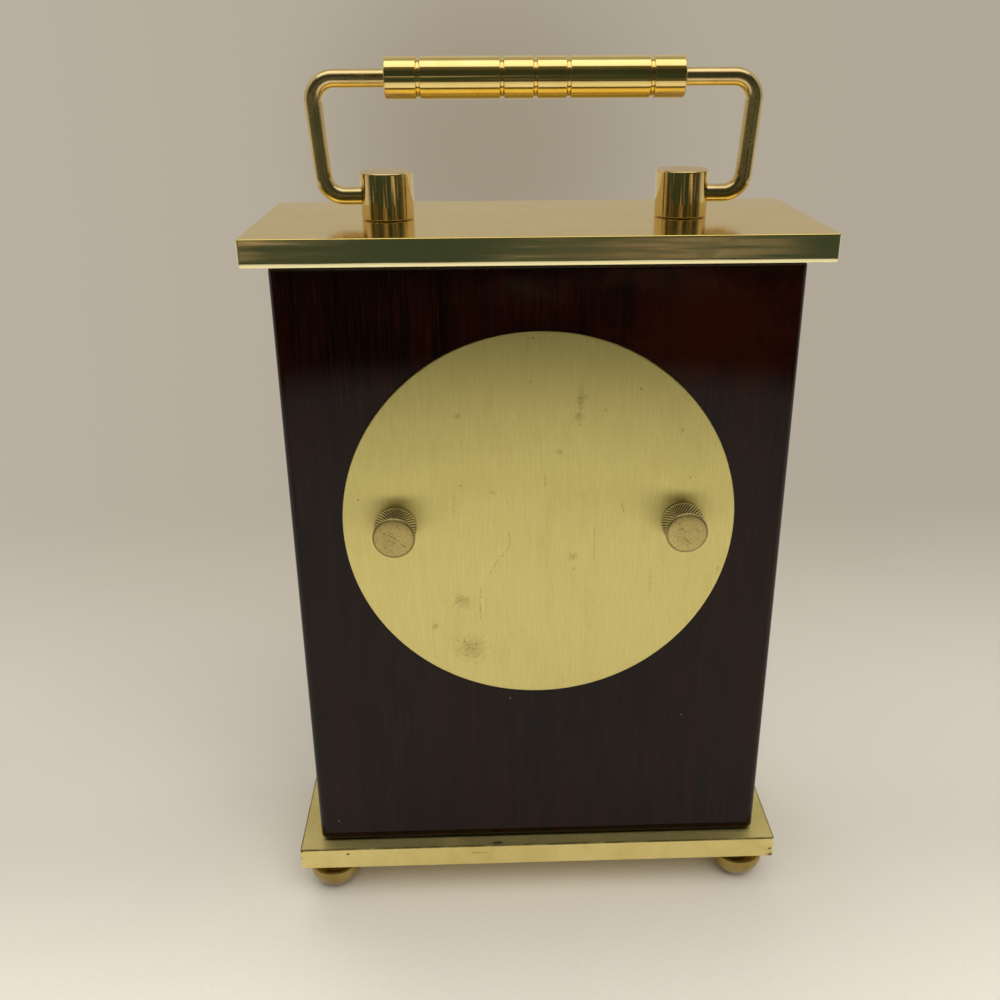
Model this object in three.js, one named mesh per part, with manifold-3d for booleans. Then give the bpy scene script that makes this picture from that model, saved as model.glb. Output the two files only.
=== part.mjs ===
// A bracket clock: a lacquered wood case between two brass plates, with ball feet, a folding bail handle,
// a round dial with a quartz movement, and a rear cover held by two thumb nuts.
// Millimetres, +Z up. The origin is on the floor, below the middle of the clock, and the dial faces -Y.

import * as THREE from "three";
import { mergeVertices, toCreasedNormals } from "three/addons/utils/BufferGeometryUtils.js";
import Module from "manifold-3d";

const wasm = await Module();
wasm.setup();

// ---------------------------------------------------------------- driving dimensions

// Clearances
const SEAT_GAP = 0.2; // between two faces that rest on each other
const FIT_GAP = 0.25; // round a pin in the hole that holds it
const RUN_GAP = 0.2; // round a shaft that turns in its hole
const END_GAP = 0.3; // before the end of a pivot, or between a wheel and what it turns on
const OVERCUT = 1; // how far a cutting shape runs past what it cuts
const LAP = 0.5; // how deep two shapes of one piece run into each other

// Brass plates above and below the case
const PLATE_WIDTH = 127;
const PLATE_DEPTH = 55;
const TOP_PLATE_THICKNESS = 6;
const BASE_PLATE_THICKNESS = 6.1;
const PLATE_EDGE = 0.3; // broken edge

// Wood case
const CASE_WIDTH = 116.6;
const CASE_DEPTH = 48;
const CASE_HEIGHT = 153.2;
const CASE_CORNER_RADIUS = 2; // upright edges
const CASE_EDGE = 1.4; // edges of the end faces
const DIAL_DROP = 60.5; // from the top of the case down to the dial's centre

// Ball feet
const FOOT_RADIUS = 7;
const FOOT_SHOULDER_CUT = 6.2; // height of the cap turned off above the shoulder
const FOOT_FLAT_CUT = 0.3; // height of the cap turned off at the floor
const FOOT_NECK_RADIUS = 3.2;
const FOOT_NECK_LENGTH = 2.6; // from the shoulder to the plate
const FOOT_INSET = 7.9; // from the plate's edges to the foot's axis
const FOOT_STUD_RADIUS = 1.5;
const FOOT_STUD_LENGTH = 4;

// Countersunk wood screws through the base plate
const SCREW_SPACING_X = 70;
const SCREW_SPACING_Y = 24;
const SCREW_HEAD_RADIUS = 3.6;
const SCREW_HEAD_HEIGHT = 2;
const SCREW_SHANK_RADIUS = 1.8;
const SCREW_LENGTH = 22;
const SCREW_TIP = 3;
const SCREW_SLOT = [4.4, 0.8, 1]; // each bar of the cross recess: length, width, depth

// Handle
const POST_SPACING = 67.6;
const POST_RADIUS = 6;
const POST_HEIGHT = 10.2;
const POST_CHAMFER = 0.4;
const POST_SHANK_RADIUS = 2.5;
const POST_SHANK_REACH = 12; // below the top plate
const INSERT_RADIUS = 4.5;
const INSERT_LENGTH = 14;
const HANDLE_FOLD_GAP = 0.6; // between the grip and the top plate when the handle is folded down
const HANDLE_ROD_RADIUS = 2;
const HANDLE_ROD_IN_POST = 7;
const HANDLE_LEG_REACH = 7.9; // from the post's side to the leg's lower corner
const HANDLE_LEG_LEAN = 1.75; // how much further out its upper corner is
const HANDLE_BEND_RADIUS = 4.75;
const HANDLE_RISE = 24.9; // from the pivots to the grip's axis
const GRIP_RADIUS = 4.5;
const GRIP_LENGTH = 66.2;
const GRIP_CHAMFER = 0.4;
const GRIP_SOCKET = 9;
const GROOVE_INSET = 7.4; // from the grip's ends to the outer grooves
const GROOVE_SPACING = 7.33; // of the three in the middle
const GROOVE_WIDTH = 1;
const GROOVE_DEPTH = 0.4;

// Bezel and lens
const BEZEL_OVERLAP = 6.5; // beyond the case's bore
const BEZEL_RISE = 5;
const BEZEL_EDGE_HEIGHT = 2; // of the upright outer edge
const BEZEL_SHOULDER = 5; // from the outer edge in to the crest
const BEZEL_CREST_STEPS = 4;
const BEZEL_LIP_WIDTH = 1; // over the edge of the lens
const BEZEL_LIP_FRONT = 3.6; // height of the lip's front edge above the case
const BEZEL_LIP_BACK = 3;
const SLEEVE_GAP = 0.3; // round the sleeve, in the case's bore
const SLEEVE_WALL = 1;
const SLEEVE_DEPTH = 14;
const LENS_THICKNESS = 1.8;
const LENS_CROWN = 5.4;
const LENS_RIM_WIDTH = 1.5;
const SPACER_LENGTH = 3.2;
const SPACER_FRONT_WIDTH = 1.6;
const SPACER_BACK_WIDTH = 3.4;

// Dial, movement plate and what holds them
const DIAL_THICKNESS = 0.6;
const MOVEMENT_PLATE_THICKNESS = 1.2;
const RETAINING_RING_WIDTH = 2;
const RETAINING_RING_THICKNESS = 1.6;
const BUSH_WALL = 0.9;
const BUSH_RISE = 2.6; // in front of the dial
const WASHER_RADIUS = 6.5;
const WASHER_THICKNESS = 0.4;
const DIAL_NUT_RADIUS = 6;
const DIAL_NUT_THICKNESS = 1.6;

// Rear cover, studs and nuts
const COVER_OVERLAP = 3.5; // beyond the case's bore
const COVER_THICKNESS = 1;
const STUD_NUT_SPACE = 2.5; // between the movement's housing and the studs' nuts
const STUD_RADIUS = 1.5;
const STUD_IN_NUT = 4.5;
const STUD_NUT_RADIUS = 3.2;
const STUD_NUT_THICKNESS = 2.4;
const THUMB_NUT_RADIUS = 5;
const THUMB_NUT_LENGTH = 6.8;
const THUMB_NUT_CHAMFER = 0.4;
const THUMB_NUT_BORE_SPARE = 0.5; // behind the end of the stud

// Hands
const HAND_THICKNESS = 0.4;
const HAND_SPACE = 0.6; // between one hand and the next
const HAND_PROUD = 0.2; // how far a tube or arbor stands in front of its hand
const HOUR_HAND_INSET = 20; // from the dial's edge to the hand's tip
const HOUR_HAND_WIDTH = 3.6;
const MINUTE_HAND_INSET = 11;
const MINUTE_HAND_WIDTH = 2.8;
const SECONDS_HAND_INSET = 10;
const SECONDS_HAND_WIDTH = 0.8;
const SECONDS_HAND_TAIL = 9;
const SECONDS_HUB_RADIUS = 2.4;
const HAND_HUB_WALL = 1.2;
const HAND_ROOT_SHARE = 0.2; // half width at the hub, as a share of the hand's width
const HAND_BELLY_SHARE = 0.8; // sideways pull of the blade's curves, as a share of the width
const HAND_BELLY_PLACE = 0.6; // where they pull most, as a share of the length
const SHOWN_HOURS = 10;
const SHOWN_MINUTES = 8;
const SHOWN_SECONDS = 36;

// Movement housing
const HOUSING_CORNER = 4;
const HOUSING_INSIDE_CORNER = 1.5;
const HOUSING_WALL = 1.2;
const HOUSING_SPACE = 1.05; // between its corners and the retaining ring
const MOVEMENT_COVER_THICKNESS = 1.2;
const DIVIDER_WALL = 1; // between the train and the battery
const DIVIDER_SPACE = 1.33; // between the divider and the minute drive wheel
const BRIDGE_POST_RADIUS = 1;
const BRIDGE_THICKNESS = 1.2;
const BRIDGE_MARGIN = 1.5; // round the outermost posts
const BRIDGE_POST_PLACES = [[-12, -6], [19.5, -5.5], [17.5, 17.5], [-10.5, 14.5]]; // from the hands' axis

// Battery, an AA cell
const BATTERY_RADIUS = 7.25;
const BATTERY_LENGTH = 49.2;
const BATTERY_NUB_RADIUS = 2.75;
const BATTERY_NUB_LENGTH = 1.3;
const BATTERY_SIDE_GAP = 0.3;
const BATTERY_END_ROOM = 1.55; // for a contact at each end
const CONTACT_THICKNESS = 0.4;
const CONTACT_SIZE = 9;
const CONTACT_BOSS_RADIUS = 3;

// Circuit and motor
const BOARD_WIDTH = 24;
const BOARD_HEIGHT = 14.5;
const BOARD_THICKNESS = 0.8;
const CRYSTAL_RADIUS = 1;
const CRYSTAL_LENGTH = 6;
const MAGNET_RADIUS = 2.6;
const MAGNET_LENGTH = 1.6;
const STATOR_GAP = 0.5; // round the magnet
const STATOR_THICKNESS = 1.2;
const STATOR_LEFT = 11.3; // from the rotor's axis to the stator's edges
const STATOR_RIGHT = 10.7;
const STATOR_BELOW = 3.8;
const STATOR_ABOVE = 8.2;
const STATOR_BAR = 1.4; // height of the bar inside the coil
const STATOR_WINDOW = 2.4;
const STATOR_LEG = 2;
const COIL_WALL = 1.5;
const COIL_DEPTH = 6;
const COIL_END_GAP = 1;

// Wheel train: teeth, modules and layers
const HOUR_TEETH = 32;
const MOTION_PINION_TEETH = 8;
const MOTION_TEETH = 30;
const CANNON_TEETH = 10;
const SET_KNOB_TEETH = 10;
const MOTION_MODULE = 0.5;
const MINUTE_DRIVE_TEETH = 48;
const THIRD_TEETH = 45;
const SECONDS_TEETH = 36;
const FIFTH_TEETH = 30;
const LEAVES = 6; // of every pinion in the going train
const THIRD_MODULE = 0.4;
const SECONDS_MODULE = 0.5;
const FIFTH_MODULE = 0.45;
const WHEEL_THICKNESS = 1;
const MOTION_THICKNESS = 1.2;
const ARBOR_RADIUS = 0.45;
const CANNON_WALL = 1;
const CANNON_TAIL_WALL = 0.8;
const HOUR_TUBE_WALL = 0.75;
const MOTION_POST_RADIUS = 0.8;
const PIVOT_POST_RADIUS = 1;
const PIVOT_DEPTH = 1.3; // how deep an arbor's end sits in its post
const HOUR_WHEEL_STANDOFF = 1; // between the housing's front wall and the hour wheel
const LAYER_SPACE = 0.4; // between two layers of the motion work
const TRAIN_SPACE = 0.6; // between two layers of the going train
const SECONDS_SPACE = 0.8; // between the third wheel and the seconds wheel
const MOTION_ANGLE = 150; // directions of the axes, in degrees
const THIRD_ANGLE = 30;
const FIFTH_ANGLE = 95;
const ROTOR_ANGLE = 50;
const SET_SHAFT_RADIUS = 1;
const SET_KNOB_RADIUS = 4.5;
const SET_KNOB_THICKNESS = 3.4;

// Tooth form, as shares of the module and of the pitch angle
const TOOTH_ADDENDUM = 0.8;
const TOOTH_DEDENDUM = 1.1;
const TOOTH_ROOT_HALF = 0.23;
const TOOTH_TIP_HALF = 0.12;

// Facets
const DISC_SIDES = 56;
const DIAL_SIDES = 40;
const TURNED_SIDES = 24;
const GRIP_SIDES = 18;
const FOOT_SIDES = 16;
const ROD_SIDES = 12;
const SMALL_SIDES = 10;
const HEX_SIDES = 6;
const BEND_STEPS = 5;
const ARC_STEPS = 5;
const FOOT_STEPS = 7;
const CORNER_STEPS = 3;
const CREASE = THREE.MathUtils.degToRad(32);
const WELD = 1e-4;

// ---------------------------------------------------------------- materials

const surface = (color, roughness, metalness) =>
  new THREE.MeshStandardMaterial({ color, roughness, metalness });
const POLISHED_BRASS = surface(0xc9a24b, 0.18, 1);
const SATIN_BRASS = surface(0xcdb56a, 0.38, 1);
const BRUSHED_BRASS = surface(0xc4b06c, 0.42, 1);
const DULL_BRASS = surface(0xa88f55, 0.5, 1);
const LACQUERED_WOOD = surface(0x2a0f0b, 0.12, 0);
const GLASS = new THREE.MeshStandardMaterial({
  color: 0xf2f6f6,
  roughness: 0.04,
  metalness: 0,
  transparent: true,
  opacity: 0.25,
});
const DIAL_WHITE = surface(0xf3eeda, 0.5, 0);
const BLACK_HANDS = surface(0x111114, 0.35, 0.3);
const STEEL = surface(0x9a9da0, 0.35, 1);
const BLACK_PLASTIC = surface(0x18191b, 0.55, 0);
const WHITE_PLASTIC = surface(0xe9e7de, 0.5, 0);
const COPPER = surface(0xb06a3a, 0.4, 1);
const BOARD_GREEN = surface(0x2d6a45, 0.5, 0);
const BATTERY_LABEL = surface(0x3f5f86, 0.4, 0);

// ---------------------------------------------------------------- solids

// Joins shared corners, drops collapsed faces and turns the faces outwards.
function solidOf(geometry) {
  const bare = new THREE.BufferGeometry();
  bare.setAttribute("position", geometry.getAttribute("position"));
  if (geometry.index) bare.setIndex(geometry.index);
  const merged = mergeVertices(bare, WELD);
  const corners = merged.index.array;
  const faces = [];
  for (let i = 0; i < corners.length; i += 3) {
    const [a, b, c] = corners.subarray(i, i + 3);
    if (a !== b && b !== c && c !== a) faces.push(a, b, c);
  }
  const vertProperties = merged.getAttribute("position").array;
  const closed = (triVerts) => new wasm.Manifold(new wasm.Mesh({ numProp: 3, vertProperties, triVerts }));
  const made = closed(new Uint32Array(faces));
  return made.volume() > 0 ? made : closed(new Uint32Array(faces).reverse());
}

function geometryOf(solid) {
  const mesh = solid.getMesh();
  const positions = new Float32Array(mesh.numVert * 3);
  for (let i = 0; i < mesh.numVert; i += 1) {
    const start = i * mesh.numProp;
    positions.set(mesh.vertProperties.subarray(start, start + 3), i * 3);
  }
  const geometry = new THREE.BufferGeometry();
  geometry.setAttribute("position", new THREE.BufferAttribute(positions, 3));
  geometry.setIndex(new THREE.BufferAttribute(mesh.triVerts, 1));
  return geometry;
}

const joined = (...pieces) => geometryOf(pieces.map(solidOf).reduce((all, next) => all.add(next)));
const cut = (piece, ...tools) =>
  geometryOf(tools.map(solidOf).reduce((all, next) => all.subtract(next), solidOf(piece)));

// A bar from one height to another along Z.
function bar(radius, from, to, sides = ROD_SIDES, x = 0, y = 0) {
  const geometry = new THREE.CylinderGeometry(radius, radius, to - from, sides);
  geometry.rotateX(Math.PI / 2);
  geometry.translate(x, y, (from + to) / 2);
  return geometry;
}

// A solid turned about Z from [radius, height] points.
function turned(points, sides = TURNED_SIDES) {
  const profile = points.map(([radius, height]) => new THREE.Vector2(radius, height));
  return new THREE.LatheGeometry(profile, sides).rotateX(Math.PI / 2);
}

const ring = (inner, outer, from, to, sides) =>
  turned([[inner, from], [outer, from], [outer, to], [inner, to], [inner, from]], sides);

function block([x0, x1], [y0, y1], [z0, z1]) {
  const geometry = new THREE.BoxGeometry(x1 - x0, y1 - y0, z1 - z0);
  geometry.translate((x0 + x1) / 2, (y0 + y1) / 2, (z0 + z1) / 2);
  return geometry;
}

// A flat piece of the given outline from one height to another along Z.
function sheet(shape, from, to, curveSegments = CORNER_STEPS) {
  const geometry = new THREE.ExtrudeGeometry(shape, { depth: to - from, bevelEnabled: false, curveSegments });
  return geometry.translate(0, 0, from);
}

// A rectangle with round corners about the origin.
function roundedRectangle(width, height, radius) {
  const x = width / 2;
  const y = height / 2;
  const shape = new THREE.Shape();
  shape.absarc(x - radius, y - radius, radius, 0, Math.PI / 2);
  shape.absarc(radius - x, y - radius, radius, Math.PI / 2, Math.PI);
  shape.absarc(radius - x, radius - y, radius, Math.PI, (3 * Math.PI) / 2);
  shape.absarc(x - radius, radius - y, radius, (3 * Math.PI) / 2, 2 * Math.PI);
  return shape;
}

// A slab from height 0 up, with all its edges broken by the same amount.
function slab(width, depth, height, cornerRadius, edge, bevelSegments) {
  const shape = roundedRectangle(width - 2 * edge, depth - 2 * edge, cornerRadius - edge);
  const geometry = new THREE.ExtrudeGeometry(shape, {
    depth: height - 2 * edge,
    bevelThickness: edge,
    bevelSize: edge,
    bevelSegments,
    curveSegments: CORNER_STEPS,
  });
  return geometry.translate(0, 0, edge);
}

// Points on an arc of a circle in a turned profile, from one angle to another.
function arcPoints(radius, height, from, to, steps = ARC_STEPS) {
  const points = [];
  for (let i = 0; i <= steps; i += 1) {
    const angle = THREE.MathUtils.lerp(from, to, i / steps);
    points.push([radius * Math.cos(angle), height + radius * Math.sin(angle)]);
  }
  return points;
}

// Points on a shallow dome, from its axis to its rim. The rim's height is given, and its top is forward.
function domePoints(rimRadius, rimHeight, rise) {
  const sphere = (rimRadius * rimRadius + rise * rise) / (2 * rise);
  const points = [];
  for (let i = 0; i <= ARC_STEPS; i += 1) {
    const radius = (rimRadius * i) / ARC_STEPS;
    const drop = sphere - Math.sqrt(sphere * sphere - radius * radius);
    points.push([radius, rimHeight - rise + drop]);
  }
  return points;
}

// A curve whose stations are given, so that a bent rod has rings only where it needs them.
class Stations extends THREE.Curve {
  constructor(stations) {
    super();
    this.stations = stations;
  }
  at(share) {
    return this.stations[Math.round(share * (this.stations.length - 1))];
  }
  getPoint(share, target = new THREE.Vector3()) {
    return target.copy(this.at(share).point);
  }
  getPointAt(share, target) {
    return this.getPoint(share, target);
  }
  getTangent(share, target = new THREE.Vector3()) {
    return target.copy(this.at(share).tangent);
  }
  getTangentAt(share, target) {
    return this.getTangent(share, target);
  }
}

// A round rod along straight stretches between the given corners, with round bends.
function bentRod(corners, radius, bendRadius) {
  const heading = (from, to) => to.clone().sub(from).normalize();
  const stations = [{ point: corners[0], tangent: heading(corners[0], corners[1]) }];
  for (let i = 1; i < corners.length - 1; i += 1) {
    const into = heading(corners[i - 1], corners[i]);
    const out = heading(corners[i], corners[i + 1]);
    const bend = into.angleTo(out);
    const start = corners[i].clone().addScaledVector(into, -bendRadius * Math.tan(bend / 2));
    const inward = out.clone().addScaledVector(into, -into.dot(out)).normalize();
    for (let step = 0; step <= BEND_STEPS; step += 1) {
      const angle = (bend * step) / BEND_STEPS;
      const point = start.clone().addScaledVector(into, bendRadius * Math.sin(angle));
      point.addScaledVector(inward, bendRadius * (1 - Math.cos(angle)));
      const tangent = into.clone().multiplyScalar(Math.cos(angle)).addScaledVector(inward, Math.sin(angle));
      stations.push({ point, tangent });
    }
  }
  const last = corners.length - 1;
  stations.push({ point: corners[last], tangent: heading(corners[last - 1], corners[last]) });
  const section = new THREE.Shape();
  section.absarc(0, 0, radius, 0, 2 * Math.PI);
  return new THREE.ExtrudeGeometry(section, {
    steps: stations.length - 1,
    curveSegments: ROD_SIDES / 2,
    extrudePath: new Stations(stations),
  });
}

// The outline of a gear. The phase is the direction of the middle of one tooth.
function gearOutline(teeth, module, phase) {
  const pitchRadius = (teeth * module) / 2;
  const rootRadius = pitchRadius - TOOTH_DEDENDUM * module;
  const tipRadius = pitchRadius + TOOTH_ADDENDUM * module;
  const corners = [
    [-TOOTH_ROOT_HALF, rootRadius],
    [-TOOTH_TIP_HALF, tipRadius],
    [TOOTH_TIP_HALF, tipRadius],
    [TOOTH_ROOT_HALF, rootRadius],
  ];
  const points = [];
  for (let tooth = 0; tooth < teeth; tooth += 1) {
    for (const [offset, radius] of corners) {
      const angle = phase + ((tooth + offset) * 2 * Math.PI) / teeth;
      points.push(new THREE.Vector2(radius * Math.cos(angle), radius * Math.sin(angle)));
    }
  }
  return new THREE.Shape(points);
}

const gear = (teeth, module, phase, from, to) => sheet(gearOutline(teeth, module, phase), from, to);

// A wheel with a gap, rather than a tooth, in the middle of the given direction.
const gapTowards = (direction, teeth) => direction + Math.PI / teeth;

const centreDistance = (teethA, teethB, module) => ((teethA + teethB) * module) / 2;

// A point at the given distance and direction, in degrees, from another.
function polar(distance, degrees, from = new THREE.Vector2()) {
  const angle = THREE.MathUtils.degToRad(degrees);
  return new THREE.Vector2(distance * Math.cos(angle), distance * Math.sin(angle)).add(from);
}

function addPiece(group, name, geometry, material) {
  const closed = geometryOf(solidOf(geometry));
  const piece = new THREE.Mesh(toCreasedNormals(closed, CREASE), material);
  piece.name = name;
  group.add(piece);
  return piece;
}

// ---------------------------------------------------------------- levels

const footShoulder = 2 * FOOT_RADIUS - FOOT_SHOULDER_CUT - FOOT_FLAT_CUT;
const footHeight = footShoulder + FOOT_NECK_LENGTH;
const basePlateBottom = footHeight + SEAT_GAP;
const caseBottom = basePlateBottom + BASE_PLATE_THICKNESS + SEAT_GAP;
const topPlateBottom = caseBottom + CASE_HEIGHT + SEAT_GAP;
const topPlateTop = topPlateBottom + TOP_PLATE_THICKNESS;
const footX = PLATE_WIDTH / 2 - FOOT_INSET;
const footY = PLATE_DEPTH / 2 - FOOT_INSET;
const dialCentre = caseBottom + CASE_HEIGHT - DIAL_DROP;
const screwX = SCREW_SPACING_X / 2;
const screwY = SCREW_SPACING_Y / 2;
const postX = POST_SPACING / 2;
const pivotHeight = GRIP_RADIUS + HANDLE_FOLD_GAP; // above the top plate
const SIDES = [["left", -1], ["right", 1]];
const CORNERS = [["front_left", -1, -1], ["front_right", 1, -1], ["rear_left", -1, 1], ["rear_right", 1, 1]];

// ---------------------------------------------------------------- axes and outline of the movement
// Seen along the hands' axis from the dial side, with +X to the left and +Y up.

const motionAxis = polar(centreDistance(CANNON_TEETH, MOTION_TEETH, MOTION_MODULE), MOTION_ANGLE);
const setDistance = centreDistance(SET_KNOB_TEETH, MOTION_TEETH, MOTION_MODULE);
const setAxis = polar(setDistance, MOTION_ANGLE, motionAxis);
const thirdDistance = centreDistance(LEAVES, THIRD_TEETH, THIRD_MODULE);
const thirdAxis = polar(thirdDistance, THIRD_ANGLE);
const minuteModule = (2 * thirdDistance) / (LEAVES + MINUTE_DRIVE_TEETH);
const hourModule = (2 * motionAxis.length()) / (MOTION_PINION_TEETH + HOUR_TEETH);
const fifthAxis = polar(centreDistance(LEAVES, SECONDS_TEETH, SECONDS_MODULE), FIFTH_ANGLE);
const rotorAxis = polar(centreDistance(LEAVES, FIFTH_TEETH, FIFTH_MODULE), ROTOR_ANGLE, fifthAxis);

const batteryWhole = BATTERY_LENGTH + BATTERY_NUB_LENGTH;
const minuteDriveRadius = (MINUTE_DRIVE_TEETH / 2 + TOOTH_ADDENDUM) * minuteModule;
const dividerBottom = -minuteDriveRadius - DIVIDER_SPACE - DIVIDER_WALL;
const batteryY = dividerBottom - BATTERY_SIDE_GAP - BATTERY_RADIUS;
const coilTop = rotorAxis.y + STATOR_ABOVE + SEAT_GAP + COIL_WALL;
const halfInside = batteryWhole / 2 + BATTERY_END_ROOM;
const insideBottom = batteryY - BATTERY_RADIUS - BATTERY_SIDE_GAP;
const insideTop = coilTop + FIT_GAP;
const halfHousing = halfInside + HOUSING_WALL;
const cornerX = halfHousing - HOUSING_CORNER;
const cornerY = Math.max(insideTop, -insideBottom) + HOUSING_WALL - HOUSING_CORNER;
const housingReach = Math.hypot(cornerX, cornerY) + HOUSING_CORNER;

// The housing fits in the sleeve of the bezel, and the sleeve in the case.
const insideRadius = housingReach + HOUSING_SPACE + RETAINING_RING_WIDTH;
const sleeveInner = insideRadius + SEAT_GAP;
const sleeveOuter = sleeveInner + SLEEVE_WALL;
const caseBoreRadius = sleeveOuter + SLEEVE_GAP;
const studX = halfHousing + STUD_NUT_SPACE + STUD_NUT_RADIUS;

// Round the hands' axis, from the inside out
const cannonBoreRadius = ARBOR_RADIUS + FIT_GAP;
const cannonRadius = cannonBoreRadius + CANNON_WALL;
const cannonTailRadius = cannonBoreRadius + CANNON_TAIL_WALL;
const hourTubeBoreRadius = cannonRadius + FIT_GAP;
const hourTubeRadius = hourTubeBoreRadius + HOUR_TUBE_WALL;
const bushBoreRadius = hourTubeRadius + END_GAP;
const bushRadius = bushBoreRadius + BUSH_WALL;

const clock = new THREE.Group();
clock.name = "bracket_clock";

// ---------------------------------------------------------------- feet and base

function footGeometry() {
  const centre = FOOT_RADIUS - FOOT_FLAT_CUT;
  const low = -Math.asin(centre / FOOT_RADIUS);
  const high = Math.asin((FOOT_RADIUS - FOOT_SHOULDER_CUT) / FOOT_RADIUS);
  const studTop = footHeight + FOOT_STUD_LENGTH;
  return turned(
    [
      [0, 0],
      ...arcPoints(FOOT_RADIUS, centre, low, high, FOOT_STEPS),
      [FOOT_NECK_RADIUS, footShoulder],
      [FOOT_NECK_RADIUS, footHeight],
      [FOOT_STUD_RADIUS, footHeight],
      [FOOT_STUD_RADIUS, studTop],
      [0, studTop],
    ],
    FOOT_SIDES,
  );
}

function addFeet() {
  for (const [place, x, y] of CORNERS) {
    addPiece(clock, `foot_${place}`, footGeometry(), POLISHED_BRASS).position.set(x * footX, y * footY, 0);
  }
}

function addBasePlate() {
  const base = new THREE.Group();
  base.position.z = basePlateBottom;
  const holes = [];
  for (const [, x, y] of CORNERS) {
    const studHole = bar(FOOT_STUD_RADIUS + FIT_GAP, -SEAT_GAP, FOOT_STUD_LENGTH, ROD_SIDES);
    holes.push(studHole.translate(x * footX, y * footY, 0));
    const headRadius = SCREW_HEAD_RADIUS + FIT_GAP;
    const shankRadius = SCREW_SHANK_RADIUS + FIT_GAP;
    const through = BASE_PLATE_THICKNESS + SEAT_GAP;
    const profile = [[0, -SEAT_GAP], [headRadius, -SEAT_GAP], [headRadius, SEAT_GAP]];
    profile.push([shankRadius, SEAT_GAP + SCREW_HEAD_HEIGHT], [shankRadius, through], [0, through]);
    holes.push(turned(profile, ROD_SIDES).translate(x * screwX, y * screwY, 0));
  }
  const plate = slab(PLATE_WIDTH, PLATE_DEPTH, BASE_PLATE_THICKNESS, 2 * PLATE_EDGE, PLATE_EDGE, 1);
  addPiece(base, "base_plate", cut(plate, ...holes), SATIN_BRASS);
  clock.add(base);
}

function screwGeometry() {
  const shankTop = SCREW_LENGTH - SCREW_TIP;
  const profile = [[0, 0], [SCREW_HEAD_RADIUS, 0], [SCREW_SHANK_RADIUS, SCREW_HEAD_HEIGHT]];
  profile.push([SCREW_SHANK_RADIUS, shankTop], [0, SCREW_LENGTH]);
  const [length, width, depth] = SCREW_SLOT;
  const slot = block([-length / 2, length / 2], [-width / 2, width / 2], [-SEAT_GAP, depth]);
  return cut(turned(profile, ROD_SIDES), slot, slot.clone().rotateZ(Math.PI / 2));
}

function addBaseScrews() {
  for (const [place, x, y] of CORNERS) {
    const screw = addPiece(clock, `base_screw_${place}`, screwGeometry(), STEEL);
    screw.position.set(x * screwX, y * screwY, basePlateBottom + SEAT_GAP);
  }
}

// ---------------------------------------------------------------- case

function addCase() {
  const wood = slab(CASE_WIDTH, CASE_DEPTH, CASE_HEIGHT, CASE_CORNER_RADIUS, CASE_EDGE, 2);
  const bore = bar(caseBoreRadius, -CASE_DEPTH, CASE_DEPTH, DISC_SIDES);
  bore.rotateX(Math.PI / 2).translate(0, 0, dialCentre - caseBottom);
  const holes = [bore];
  const screwReach = SCREW_LENGTH + SEAT_GAP - BASE_PLATE_THICKNESS;
  for (const [, x, y] of CORNERS) {
    holes.push(bar(SCREW_SHANK_RADIUS + FIT_GAP, -OVERCUT, screwReach, ROD_SIDES, x * screwX, y * screwY));
  }
  for (const [, side] of SIDES) {
    const bottom = CASE_HEIGHT - INSERT_LENGTH - SEAT_GAP;
    holes.push(bar(INSERT_RADIUS + FIT_GAP, bottom, CASE_HEIGHT + OVERCUT, ROD_SIDES, side * postX));
  }
  addPiece(clock, "case_body", cut(wood, ...holes), LACQUERED_WOOD).position.z = caseBottom;
}

// ---------------------------------------------------------------- top plate and handle

function addTopPlate() {
  const plate = slab(PLATE_WIDTH, PLATE_DEPTH, TOP_PLATE_THICKNESS, 2 * PLATE_EDGE, PLATE_EDGE, 1);
  const holes = SIDES.map(([, side]) =>
    bar(POST_SHANK_RADIUS + FIT_GAP, -OVERCUT, TOP_PLATE_THICKNESS + OVERCUT, ROD_SIDES, side * postX),
  );
  addPiece(clock, "top_plate", cut(plate, ...holes), POLISHED_BRASS).position.z = topPlateBottom;
}

// Each post stands on the top plate, and its shank runs through the plate into the insert in the wood.
function addPosts() {
  const shankBottom = -SEAT_GAP - TOP_PLATE_THICKNESS - POST_SHANK_REACH;
  for (const [place, side] of SIDES) {
    const profile = [[0, shankBottom], [POST_SHANK_RADIUS, shankBottom], [POST_SHANK_RADIUS, 0]];
    profile.push([POST_RADIUS, 0], [POST_RADIUS, POST_HEIGHT - POST_CHAMFER]);
    profile.push([POST_RADIUS - POST_CHAMFER, POST_HEIGHT], [0, POST_HEIGHT]);
    const holeDepth = HANDLE_ROD_IN_POST + SEAT_GAP;
    const hole = bar(HANDLE_ROD_RADIUS + RUN_GAP, POST_RADIUS - holeDepth, POST_RADIUS + OVERCUT, ROD_SIDES);
    hole.rotateY((side * Math.PI) / 2).translate(0, 0, pivotHeight - SEAT_GAP);
    const post = addPiece(clock, `handle_post_${place}`, cut(turned(profile), hole), POLISHED_BRASS);
    post.position.set(side * postX, 0, topPlateTop + SEAT_GAP);

    const sleeve = ring(POST_SHANK_RADIUS + FIT_GAP, INSERT_RADIUS, -INSERT_LENGTH, 0, ROD_SIDES);
    const insert = addPiece(clock, `post_insert_${place}`, sleeve, DULL_BRASS);
    insert.position.set(side * postX, 0, caseBottom + CASE_HEIGHT);
  }
}

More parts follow.
